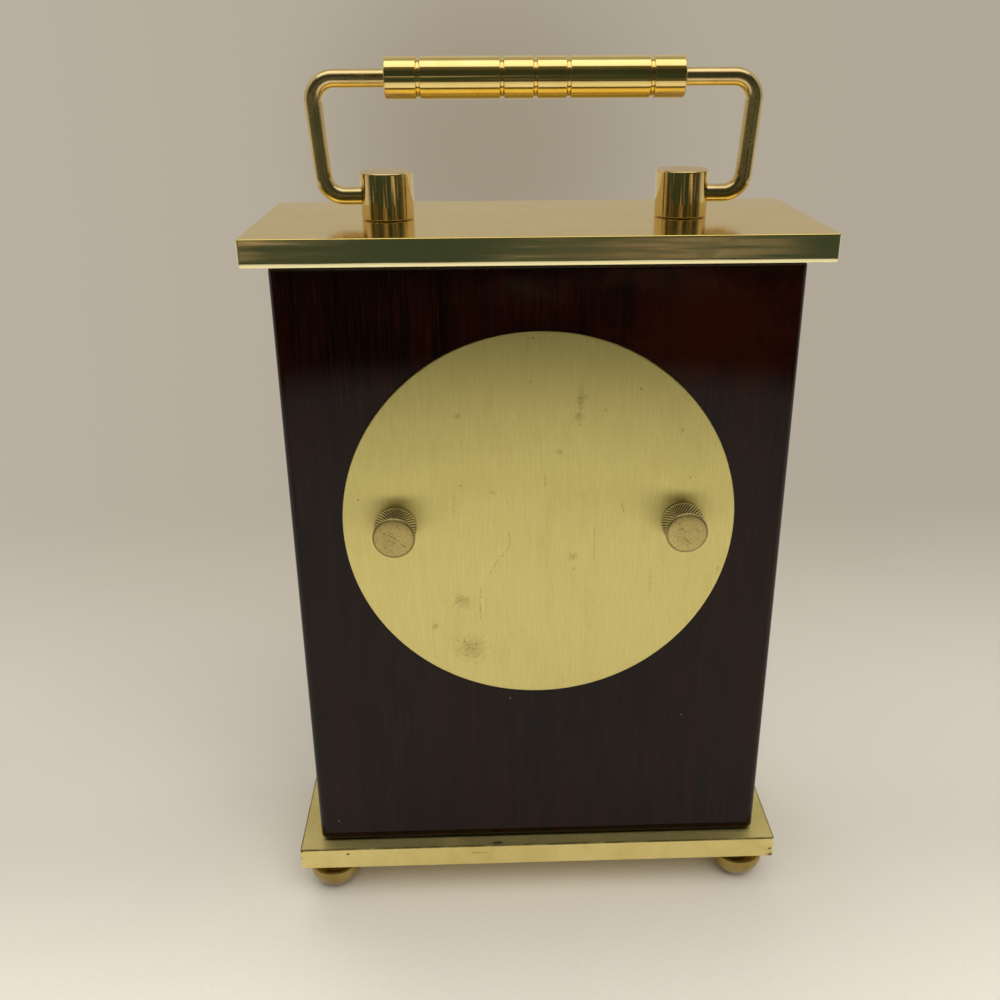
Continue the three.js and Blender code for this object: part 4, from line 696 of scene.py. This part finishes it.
# painted shade: the feet under the base plate get a darker brass than the rest
FOOT_BRASS_PAINTED_SHADE = brass("foot_brass", (0.47, 0.355, 0.125), (0.34, 0.24, 0.075), 0.10, 0.02, 1.2)
ARM_BRASS = brass("arm_brass", (0.76, 0.61, 0.31), (0.66, 0.50, 0.23), 0.19, 0.05, 1.0)
GRIP_BRASS = brass("grip_brass", (0.87, 0.70, 0.29), (0.81, 0.62, 0.23), 0.07, 0.02, 0.4, (0.22, 30, 30),
                   grip_underside_painted_shade)
TURNED_BRASS = brass("turned_brass", (0.62, 0.52, 0.22), (0.52, 0.42, 0.16), 0.33, 0.2, 1.2, (3, 3, 0.3),
                     nut_wear_and_painted_light)
WOOD = lacquered_wood()
COVER_BRASS = brushed_brass()
GLASS = clear_glass()
DIAL_PAINT = painted("dial_white", (0.80, 0.765, 0.65), (0.74, 0.70, 0.58), 0.42, 0.35, 0.006)
BLACK_PAINT = painted("hand_black", (0.012, 0.012, 0.014), (0.02, 0.02, 0.022), 0.3, 0.5, 0.006)
STEEL = brass("steel", (0.56, 0.56, 0.55), (0.46, 0.455, 0.44), 0.28, 0.3, 0.8)
BLACK_PLASTIC = painted("black_plastic", (0.02, 0.021, 0.022), (0.032, 0.033, 0.034), 0.48, 0.4, 0.03)
WHITE_PLASTIC = painted("white_plastic", (0.78, 0.77, 0.72), (0.72, 0.70, 0.64), 0.42, 0.5, 0.01)
BATTERY_WRAP = battery_wrap()
BOARD = circuit_green()
COPPER = wound_copper()

# ---- feet and base

ROOT = "case"


def build_foot(place, x, y):
    low = -math.degrees(math.asin(FOOT_CENTRE / FOOT_RADIUS))
    ball = arc(0, FOOT_CENTRE, FOOT_RADIUS, low, 2, 28)
    shoulder = soften([ball[-1], (FOOT_RADIUS - 0.05, FOOT_SHOULDER, 0.45),
                       (FOOT_NECK_RADIUS, FOOT_SHOULDER, 0.4), (FOOT_NECK_RADIUS, FOOT_TOP)], 5)
    stud = [(FOOT_STUD_RADIUS, FOOT_TOP), (FOOT_STUD_RADIUS, FOOT_STUD_TOP - 0.3),
            (FOOT_STUD_RADIUS - 0.3, FOOT_STUD_TOP), (0, FOOT_STUD_TOP)]
    profile = [(0, 0), *ball, *shoulder[1:], *stud]
    foot = lathe(f"ball_foot_{place}", profile, 96, centre=(x, y, 0))
    settle(foot, ROOT, FOOT_BRASS_PAINTED_SHADE, [f"foot_{place}"])


for entry in FOOT_PLACES:
    build_foot(*entry)

base = slab("base_plate_brass", PLATE_HALF, BASE_PLATE, PLATE_CORNER, PLATE_EDGE)
tools = [drill(STUD_HOLE_RADIUS, -1, 4, (x, y, BASE_PLATE[0]), 32) for _, x, y in FOOT_PLACES]
for _, x, y in SCREW_PLACES:
    sink = [(0, -1), (SCREW_HEAD_RADIUS, -1), (SCREW_HEAD_RADIUS, 0.2), (SCREW_HOLE_RADIUS, 2.2),
            (SCREW_HOLE_RADIUS, 8), (0, 8)]
    tools.append(lathe("tool", sink, 48, centre=(x, y, BASE_PLATE[0])))
carve(base, tools)
settle(base, ROOT, BASE_BRASS, ["base_plate"])

# ---- case

case = slab("wood_case", CASE_HALF, CASE, CASE_CORNER, CASE_EDGE, steps=6, corner_steps=10)
tools = [drill(BORE_RADIUS, -40, 40, (0, 0, DIAL_Z), 160, "Y")]
tools += [drill(SCREW_HOLE_RADIUS, 10, SCREW_HOLE_TOP, (x, y, 0), 32) for _, x, y in SCREW_PLACES]
tools += [drill(INSERT_HOLE_RADIUS, INSERT_HOLE_BOTTOM, 175, (side * POST_X, 0, 0)) for side in (-1, 1)]
carve(case, tools)
settle(case, ROOT, WOOD, ["case_body"])

# ---- top plate and handle

top = slab("top_plate_brass", PLATE_HALF, TOP_PLATE, PLATE_CORNER, PLATE_EDGE, 8, 6, (0.28, 1.3))
carve(top, [drill(SHANK_HOLE_RADIUS, 165, 180, (side * POST_X, 0, 0)) for side in (-1, 1)])
settle(top, ROOT, TOP_BRASS, ["top_plate"])


def build_post(place, side):
    profile = soften(
        [(0, -SHANK_LENGTH), (SHANK_RADIUS, -SHANK_LENGTH, 0.3), (SHANK_RADIUS, 0), (POST_RADIUS, 0, 0.15),
         (POST_RADIUS, POST_HEIGHT, 0.45), (0, POST_HEIGHT)], 4)
    post = lathe(f"handle_post_brass_{place}", profile, 128, centre=(side * POST_X, 0, POST_BOTTOM))
    carve(post, [drill(PIVOT_HOLE_RADIUS, -1.2 * side, 9 * side, (side * POST_X, 0, PIVOT_Z), 64, "X")])
    settle(post, ROOT, POST_BRASS, [f"handle_post_{place}"], 50)


def build_arm(place, side):
    """A bent rod with smooth bends, in the plane of the handle."""
    top_z = PIVOT_Z + HANDLE_RISE
    corners = [(ROD_START, PIVOT_Z), (LEG_X, PIVOT_Z, BEND_RADIUS), (LEG_X + LEG_LEAN, top_z, BEND_RADIUS),
               (ROD_END, top_z)]
    line = [Vector(p) for p in soften(corners, 24)]
    rows = []
    sides = 48
    for i, place_on in enumerate(line):
        before = line[max(i - 1, 0)]
        after = line[min(i + 1, len(line) - 1)]
        along = (after - before).normalized()
        across = Vector((-along.y, along.x))
        radii = [(0, ROD_RADIUS)]
        if i == 0:
            radii = [(0, ROD_RADIUS - 0.3), (0.3, ROD_RADIUS)]
        if i == len(line) - 1:
            radii = [(-0.3, ROD_RADIUS), (0, ROD_RADIUS - 0.3)]
        for shift, radius in radii:
            centre = place_on + along * shift
            row = []
            for k in range(sides):
                angle = 2 * math.pi * k / sides
                point = centre + across * radius * math.cos(angle)
                row.append((side * point.x, radius * math.sin(angle), point.y))
            rows.append(row)
    vertices, faces, starts = skin(rows)
    faces.append(list(range(sides)))
    faces.append([starts[-1] + k for k in range(sides)])
    arm = make(f"handle_arm_brass_{place}", vertices, faces)
    settle(arm, "handle", ARM_BRASS, [f"handle_arm_{place}"])


for place, side in SIDES:
    build_post(place, side)
    build_arm(place, side)

corners = [(0, -SOCKET_END), (SOCKET_RADIUS, -SOCKET_END), (SOCKET_RADIUS, -GRIP_HALF),
           (GRIP_RADIUS, -GRIP_HALF, 0.4)]
GROOVE_FLOOR = GRIP_RADIUS - GROOVE_DEPTH
for groove in GROOVES:
    corners += [(GRIP_RADIUS, groove - 0.5, 0.12), (GROOVE_FLOOR, groove - 0.25, 0.1),
                (GROOVE_FLOOR, groove + 0.25, 0.1), (GRIP_RADIUS, groove + 0.5, 0.12)]
corners += [(GRIP_RADIUS, GRIP_HALF, 0.4), (SOCKET_RADIUS, GRIP_HALF), (SOCKET_RADIUS, SOCKET_END),
            (0, SOCKET_END)]
grip = lathe("handle_grip_brass", soften(corners, 4), 128, "X", (0, 0, PIVOT_Z + HANDLE_RISE))
settle(grip, "handle", GRIP_BRASS, ["handle_grip"])

# ---- rear cover and thumb nuts

rim = soften([(0, COVER[0]), (COVER_RADIUS, COVER[0], 0.1), (COVER_RADIUS, COVER[1], 0.18), (0, COVER[1])], 4)
cover = lathe("rear_cover_disc", rim, 256, "Y", (0, 0, DIAL_Z))
carve(cover, [drill(STUD_HOLE_RADIUS, 20, 30, (side * STUD_X, 0, DIAL_Z), axis="Y") for side in (-1, 1)])
layer = cover.data.uv_layers.new(name="UVMap")
for loop in cover.data.loops:
    place_on = cover.data.vertices[loop.vertex_index].co
    layer.data[loop.index].uv = (0.5 + place_on.x / 100, 0.5 + (place_on.z - DIAL_Z) / 100)
settle(cover, "rear_cover", COVER_BRASS, ["back_cover"])

KNURLS = 44
KNURL_STEPS = 8
KNURL_DEPTH = 0.36
KNURL_ROWS = 4


def build_nut(place, side):
    """A thumb nut whose side is cut by two sets of slanting grooves into small pyramids."""
    sides = KNURLS * KNURL_STEPS
    centre = (side * STUD_X, 0, DIAL_Z)
    low, high = NUT
    chamfer = 0.4
    edge = NUT_RADIUS - chamfer

    def ring(radius, height):
        return circle("Y", centre, radius, height, sides)

    rows = [ring(0, NUT_HOLE_END), ring(STUD_HOLE_RADIUS, NUT_HOLE_END), ring(STUD_HOLE_RADIUS, low),
            ring(edge - 0.05, low)]
    first = low + chamfer
    length = high - low - 2 * chamfer
    count = KNURL_ROWS * KNURL_STEPS
    for i in range(count + 1):
        row = []
        height = first + length * i / count
        fade = min(1.0, min(i, count - i) / (0.35 * KNURL_STEPS) + 0.35)
        for k in range(sides):
            a = k / KNURL_STEPS + i / KNURL_STEPS
            b = k / KNURL_STEPS - i / KNURL_STEPS
            ridge = min(1 - abs(2 * (a % 1) - 1), 1 - abs(2 * (b % 1) - 1), 0.7) / 0.7
            radius = NUT_RADIUS - KNURL_DEPTH * (1 - ridge) * fade
            turn = 2 * math.pi * k / sides
            row.append(on_axis("Y", centre, radius * math.cos(turn), radius * math.sin(turn), height))
        rows.append(row)
    rows += [ring(edge, high - 0.03), ring(edge - 0.12, high), ring(2.5, high), ring(0, high)]
    vertices, faces, _ = skin(rows)
    nut = make(f"knurled_nut_{place}", vertices, faces)
    settle(nut, f"nut_{place}", TURNED_BRASS, [f"thumb_nut_{place}"], 25)


for place, side in SIDES:
    build_nut(place, side)

# ---- dial side

FRONT = (0, INSERT_FACE, DIAL_Z)
inner, outer = SLEEVE
corners = [(outer, -0.2), (BEZEL_RADIUS, -0.2, 0.15), (BEZEL_RADIUS, -2)]
turns = [math.radians(6 * k) for k in range(1, 16)]
shoulder = [(BEZEL_RADIUS - 5 + 5 * math.cos(a), -2 - 3 * math.sin(a)) for a in turns]
rest = soften([(BEZEL_RADIUS - 5, -5), (40, -3.6, 0.12), (40, -3.0), (inner, -3.0), (inner, 14),
               (outer, 14, 0.2), (outer, -0.2)], 4)
bezel = lathe("bezel_brass", soften(corners, 4) + shoulder + rest[1:-1], 160, "Y", FRONT)
settle(bezel, ROOT, SHINY_BRASS, ["bezel"], 30)


def dome(rim, height, rise, steps):
    sphere = (rim * rim + rise * rise) / (2 * rise)
    radii = [rim * k / steps for k in range(steps + 1)]
    return [(r, height - rise + sphere - math.sqrt(sphere * sphere - r * r)) for r in radii]


profile = dome(39.5, -2.8, 5.4, 24) + [(40.9, -2.8), (DIAL_RADIUS, -2.7)]
profile += [(DIAL_RADIUS, -1.1), (40.9, -1.0)]
profile += dome(39.3, -1.0, 5.4, 24)[::-1]
lens = lathe("crystal_lens", profile, 128, "Y", FRONT)
settle(lens, ROOT, GLASS, ["lens"], 30)

profile = soften([(39.4, -0.8, 0.1), (DIAL_RADIUS, -0.8), (DIAL_RADIUS, 2.4), (37.6, 2.4, 0.1)], 3, closed=True)
spacer = lathe("dial_surround", profile, 128, "Y", FRONT)
settle(spacer, ROOT, GRIP_BRASS, ["spacer_ring"], 30)

sheet = [(4.15, 2.6), (DIAL_RADIUS, 2.6), (DIAL_RADIUS, 3.2), (4.15, 3.2)]
face = lathe("dial_face", sheet, 128, "Y", FRONT)
settle(face, ROOT, DIAL_PAINT, ["dial"], 30)

# Printed marks: two rings with sixty ticks between them, and Roman numerals.
THICK = 1.15
THIN = 0.42
SERIF = 0.32
PRINT = 0.05
RING_HALF = 0.12
NUMERAL_HEIGHT = 6.6
NUMERAL_MIDDLE = 28.2
TRACK = (33.4, 35.6)
NUMERALS = ("XII", "I", "II", "III", "IIII", "V", "VI", "VII", "VIII", "IX", "X", "XI")
LETTER_WIDTH = {"I": 1.9, "V": 4.3, "X": 4.3}


def bar_outline(x0, y0, x1, y1, width):
    """A straight stroke with level ends."""
    half = width / 2
    return [(x0 - half, y0), (x0 + half, y0), (x1 + half, y1), (x1 - half, y1)]


def letter(kind, middle):
    """The strokes of one Roman letter about a middle, with its foot at 0."""
    top_y = NUMERAL_HEIGHT

    def serif(x, y, width):
        return bar_outline(x, y, x, y + SERIF, width)

    head = top_y - SERIF
    if kind == "I":
        return [bar_outline(middle, 0, middle, top_y, THICK), serif(middle, 0, 1.9), serif(middle, head, 1.9)]
    if kind == "V":
        left, right = middle - 1.35, middle + 1.35
        return [bar_outline(middle + 0.1, 0, left, top_y, THICK), bar_outline(middle, 0, right, top_y, THIN),
                serif(left, head, 2.0), serif(right, head, 1.6)]
    left, right = middle - 1.3, middle + 1.3
    return [bar_outline(right, 0, left, top_y, THICK), bar_outline(left, 0, right, top_y, THIN),
            serif(left, 0, 1.6), serif(right, 0, 2.0), serif(left, head, 2.0), serif(right, head, 1.6)]


def turned_outline(outline, radius, degrees):
    """An outline set upright at a radius from the dial's centre, turned clockwise from the top."""
    cos = math.cos(math.radians(degrees))
    sin = math.sin(math.radians(degrees))
    return [(x * cos + (radius + y) * sin, (radius + y) * cos - x * sin) for x, y in outline]


marks = []
for minute in range(60):
    width = 0.75 if minute % 5 == 0 else 0.3
    tick = bar_outline(0, 0, 0, TRACK[1] - TRACK[0], width)
    marks.append(turned_outline(tick, TRACK[0], 6 * minute))
for hour, word in enumerate(NUMERALS):
    spacing = [LETTER_WIDTH[kind] for kind in word]
    start = -(sum(spacing) + 0.25 * (len(word) - 1)) / 2
    for kind, width in zip(word, spacing):
        for stroke in letter(kind, start + width / 2):
            marks.append(turned_outline(stroke, NUMERAL_MIDDLE - NUMERAL_HEIGHT / 2, 30 * hour))
        start += width + 0.25


def on_face(x, y, level):
    return (x, DIAL_FACE - level, DIAL_Z + y)


print_marks = prism("dial_numerals", marks, (0.0, PRINT), on_face)
settle(print_marks, ROOT, BLACK_PAINT, (), 30)
for name, inner in (("minute_ring_inner", TRACK[0]), ("minute_ring_outer", TRACK[1])):
    low, high = inner - RING_HALF, inner + RING_HALF
    ring = lathe(name, [(low, 0), (high, 0), (high, -PRINT), (low, -PRINT)], 128, "Y", (0, DIAL_FACE, DIAL_Z))
    settle(ring, ROOT, BLACK_PAINT, (), 30)


def leaf(length, width, steps=24):
    """Half outlines of a leaf blade from its hub to its tip, both sides."""
    right = []
    for k in range(steps + 1):
        t = k / steps
        x = (1 - t) ** 2 * 0.2 * width + 2 * t * (1 - t) * 0.8 * width
        right.append((x, 2 * t * (1 - t) * 0.6 * length + t * t * length))
    left = [(-x, y) for x, y in reversed(right[:-1])]
    return right + left


def build_hand(name, outline, levels, degrees, hub_radius, hole, body, node, material):
    """A pressed hand: a thin blade with rounded edges and a hub that sits on its tube."""
    angle = math.radians(degrees)

    def place_at(x, y, level):
        across = x * math.cos(angle) + y * math.sin(angle)
        return (across, INSERT_FACE + level, DIAL_Z - x * math.sin(angle) + y * math.cos(angle))

    front, back = levels
    blade = prism(name, [outline], (front + 0.04, back - 0.04), place_at)
    round_edges(blade, 0.07)
    carve(blade, [drill(hole, -6, 6, FRONT, axis="Y")])
    corners = [(hole, front, 0.08), (hub_radius, front, 0.12), (hub_radius, back, 0.05), (hole, back)]
    profile = soften(corners, 3, closed=True)
    hub = lathe(name + "_hub", profile, 64, "Y", FRONT)
    settle(blade, body, material, [node])
    settle(hub, body, material)


HOURS, MINUTES, SECONDS = 10, 8, 36
minute_angle = 6 * (MINUTES + SECONDS / 60)
hour_angle = 30 * (HOURS + MINUTES / 60)
build_hand("hour_hand_leaf", leaf(21, 3.6), (-0.7, -0.3), hour_angle, 4.1, 2.9, "hour_work", "hour_hand",
           BLACK_PAINT)
build_hand("minute_hand_leaf", leaf(30, 2.8), (-1.7, -1.3), minute_angle, 3.1, 1.9, "minute_work",
           "minute_hand", BLACK_PAINT)
needle = [(-0.4, -9), (0.4, -9), (0.25, 31), (-0.25, 31)]
build_hand("seconds_hand_needle", needle, (-2.7, -2.3), 6 * SECONDS, 2.4, 0.65, "seconds_work",
           "seconds_hand", SHINY_BRASS)

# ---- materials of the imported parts

NODE_LOOKS = {
    "base_screw": STEEL, "post_insert": TURNED_BRASS, "stud": STEEL, "movement_plate": STEEL,
    "retaining_ring": STEEL, "dial_washer": TURNED_BRASS, "dial_nut": TURNED_BRASS,
    "movement_housing": BLACK_PLASTIC, "movement_cover": BLACK_PLASTIC, "set_knob": BLACK_PLASTIC,
    "train_bridge": WHITE_PLASTIC, "battery_contact": STEEL, "battery": BATTERY_WRAP, "circuit_board": BOARD,
    "crystal": STEEL, "coil": COPPER, "stator": STEEL, "rotor": STEEL,
}
for node_name, node_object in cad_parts.items():
    if node_object.hide_render:
        continue
    found = [look for start, look in NODE_LOOKS.items() if node_name.startswith(start)]
    node_object.data.materials.clear()
    node_object.data.materials.append(found[0] if found else WHITE_PLASTIC)

# ---- floor, light and camera

FLOOR_HALF = 1500
WALL = (0.475, 0.425, 0.345)
CEILING = (0.45, 0.43, 0.38)
FLOOR = (0.615, 0.58, 0.51)
FLOOR_PAINTED_LIGHT = (0.81, 0.765, 0.685)
FLOOR_PAINTED_SHADE = (0.54, 0.505, 0.445)


def build_floor():
    """A pale floor whose colour fades into the background behind it. It is painted paler on the camera's side
    of the clock as painted light, and darker beside the clock and further towards the camera as painted shade.
    """
    corners = [(x * FLOOR_HALF, y * FLOOR_HALF, 0) for x, y in ((-1, -1), (1, -1), (1, 1), (-1, 1))]
    floor = make("floor", corners, [(0, 1, 2, 3)])
    floor.data.transform(Matrix.Scale(MM, 4))
    paper = Surface("floor_paper", Roughness=0.9, Specular_IOR_Level=0.1)
    shade = paper.noise(paper.space(120, 120, 120), 2, 0.5)
    fine = paper.noise(paper.space(1.5, 1.5, 1.5), 2, 0.5)
    tone = paper.mix(paper.remap(shade, 0.3, 0.7), FLOOR, tuple(0.97 * c for c in FLOOR))
    behind = paper.part(paper.space(), "Y")
    # painted light: paler floor on the camera's side of the clock
    tone = paper.mix(paper.remap(behind, 0, 85), tone, FLOOR_PAINTED_LIGHT)
    # painted shade: darker floor beside the clock and further towards the camera
    beside = paper.remap(paper.maths("ABSOLUTE", paper.part(paper.space(), "X")), 30, 240, 0, 0.8)
    beside = paper.times(beside, paper.remap(behind, 120, 220))
    painted_floor_shade = paper.most(beside, paper.remap(behind, 200, 500))
    tone = paper.mix(painted_floor_shade, tone, FLOOR_PAINTED_SHADE)
    tone = paper.mix(paper.remap(fine, 0.4, 0.8, 0, 0.1), tone, tuple(0.9 * c for c in FLOOR))
    paper.use(Base_Color=tone)
    far = paper.remap(paper.vector("LENGTH", paper.space()), 465, 585)
    back = paper.remap(behind, -260, -20, 1, 0)
    gone = paper.most(far, back)
    clear = paper.node("ShaderNodeBsdfTransparent").outputs[0]
    both = paper.node("ShaderNodeMixShader", {0: gone, 1: paper.shader.outputs[0], 2: clear})
    paper.links.new(both.outputs[0], paper.nodes["Material Output"].inputs["Surface"])
    floor.data.materials.append(paper.material)


def build_world():
    """A wall tone for the eye, with a painted shadow behind the handle, and a soft room for the reflections."""
    world = bpy.data.worlds.new("studio")
    bpy.context.scene.world = world
    world.use_nodes = True
    sky = Nodes(world.node_tree)
    sky.nodes.clear()

    def ramp(value, stops):
        made = sky.node("ShaderNodeValToRGB", {0: value})
        elements = made.color_ramp.elements
        while len(elements) < len(stops):
            elements.new(0.5)
        for element, (place, colour) in zip(elements, stops):
            element.position = place
            element.color = (*colour, 1)
        return made.outputs[0]

    direction = sky.node("ShaderNodeTexCoord").outputs["Generated"]
    x, y, z = (sky.part(direction, axis) for axis in "XYZ")

    # height: 0 straight down, 0.5 level, 1 straight up
    height = sky.node("ShaderNodeMapRange", {0: z, 1: -1.0, 2: 1.0}).outputs[0]
    wall_side = ramp(height, [(0.0, FLOOR), (0.42, FLOOR), (0.52, WALL), (0.66, (0.49, 0.44, 0.36)),
                              (0.8, (0.66, 0.61, 0.51)), (0.92, (0.42, 0.40, 0.34)), (1.0, CEILING)])
    room_side = ramp(height, [(0.0, FLOOR), (0.27, (0.3, 0.27, 0.22)), (0.35, (0.05, 0.05, 0.03)),
                              (0.5, (0.03, 0.055, 0.038)), (0.58, (0.036, 0.045, 0.032)),
                              (0.8, (0.034, 0.038, 0.026)), (0.91, (0.12, 0.105, 0.05)), (1.0, CEILING)])
    # soft brown and pale things in the room, only where the plate's edge reflects them
    stretched = sky.node("ShaderNodeMapping", {"Vector": direction, "Scale": (4.5, 4.5, 15)}).outputs[0]
    shapes = sky.node("ShaderNodeTexNoise", {"Vector": stretched, "Scale": 1.0, "Detail": 3.0}).outputs[0]
    low_down = sky.times(sky.remap(z, 0.25, 0.05), sky.remap(z, -0.23, -0.18))
    things = sky.times(sky.remap(shapes, 0.53, 0.61), low_down)
    room_side = sky.mix(things, room_side, (0.34, 0.225, 0.14))
    pale = sky.times(sky.remap(shapes, 0.61, 0.68), low_down)
    room_side = sky.mix(pale, room_side, (0.6, 0.52, 0.38))
    room = sky.mix(sky.remap(y, -0.05, 0.35), wall_side, room_side)
    path = sky.node("ShaderNodeLightPath").outputs
    across = sky.node("ShaderNodeMapRange", {0: x, 1: -0.45, 2: 0.45}).outputs[0]
    backdrop = ramp(across, [(0.0, (0.433, 0.388, 0.318)), (0.5, (0.442, 0.385, 0.302)),
                             (1.0, (0.49, 0.443, 0.365))])
    # painted shadow: a soft dark patch on the backdrop behind the handle
    handle_wall_shadow = sky.vector("DISTANCE", direction, (-0.01, -0.995, -0.09))
    backdrop = sky.mix(sky.remap(handle_wall_shadow, 0.21, 0.03), backdrop, (0.345, 0.30, 0.222))
    seen = sky.mix(path["Is Camera Ray"], room, backdrop)
    plain = sky.mix(path["Is Diffuse Ray"], seen, (0.45, 0.43, 0.40))
    background = sky.node("ShaderNodeBackground", {"Color": plain, "Strength": 1.0})
    sky.node("ShaderNodeOutputWorld", {"Surface": background.outputs[0]})


def area_light(name, place, target, size, power, colour, mirrored=True):
    """A soft lamp. One that isn't mirrored lights the matt surfaces without showing in the polished ones."""
    data = bpy.data.lights.new(name, "AREA")
    data.shape = "RECTANGLE"
    data.size, data.size_y = size
    data.energy = power
    data.color = colour
    lamp = bpy.data.objects.new(name, data)
    bpy.context.scene.collection.objects.link(lamp)
    lamp.location = place
    lamp.rotation_euler = (Vector(target) - Vector(place)).to_track_quat("-Z", "Y").to_euler()
    lamp.visible_glossy = mirrored


def build_camera():
    """The camera stands where the photograph was taken from."""
    data = bpy.data.cameras.new("camera")
    data.sensor_width = 36
    data.lens = 39.29
    data.shift_x = -0.01978
    data.shift_y = 0.01465
    data.clip_start = 0.01
    data.clip_end = 20
    camera = bpy.data.objects.new("camera", data)
    bpy.context.scene.collection.objects.link(camera)
    right = (-0.999361, 0.035529, -0.003979)
    up = (-0.017922, -0.401568, 0.915654)
    back = (0.030934, 0.915140, 0.401948)
    turn = Matrix((right, up, back)).transposed().to_4x4()
    camera.matrix_world = Matrix.Translation((0.012522, 0.258978, 0.214440)) @ turn
    bpy.context.scene.camera = camera


build_floor()
build_world()
area_light("ceiling", (0, 0.14, 1.1), (0, 0.14, 0), (1.6, 0.68), 3.6, (1.0, 0.97, 0.92))
area_light("key", (-0.25, 0.8, 1.05), (0, 0.05, 0.05), (1.0, 0.8), 9.0, (1.0, 0.98, 0.95), mirrored=False)
area_light("fill", (0.3, -0.9, 0.9), (0, 0, 0.1), (1.0, 0.8), 4.0, (1.0, 0.98, 0.95), mirrored=False)
build_camera()
bpy.context.scene.view_settings.view_transform = "Standard"
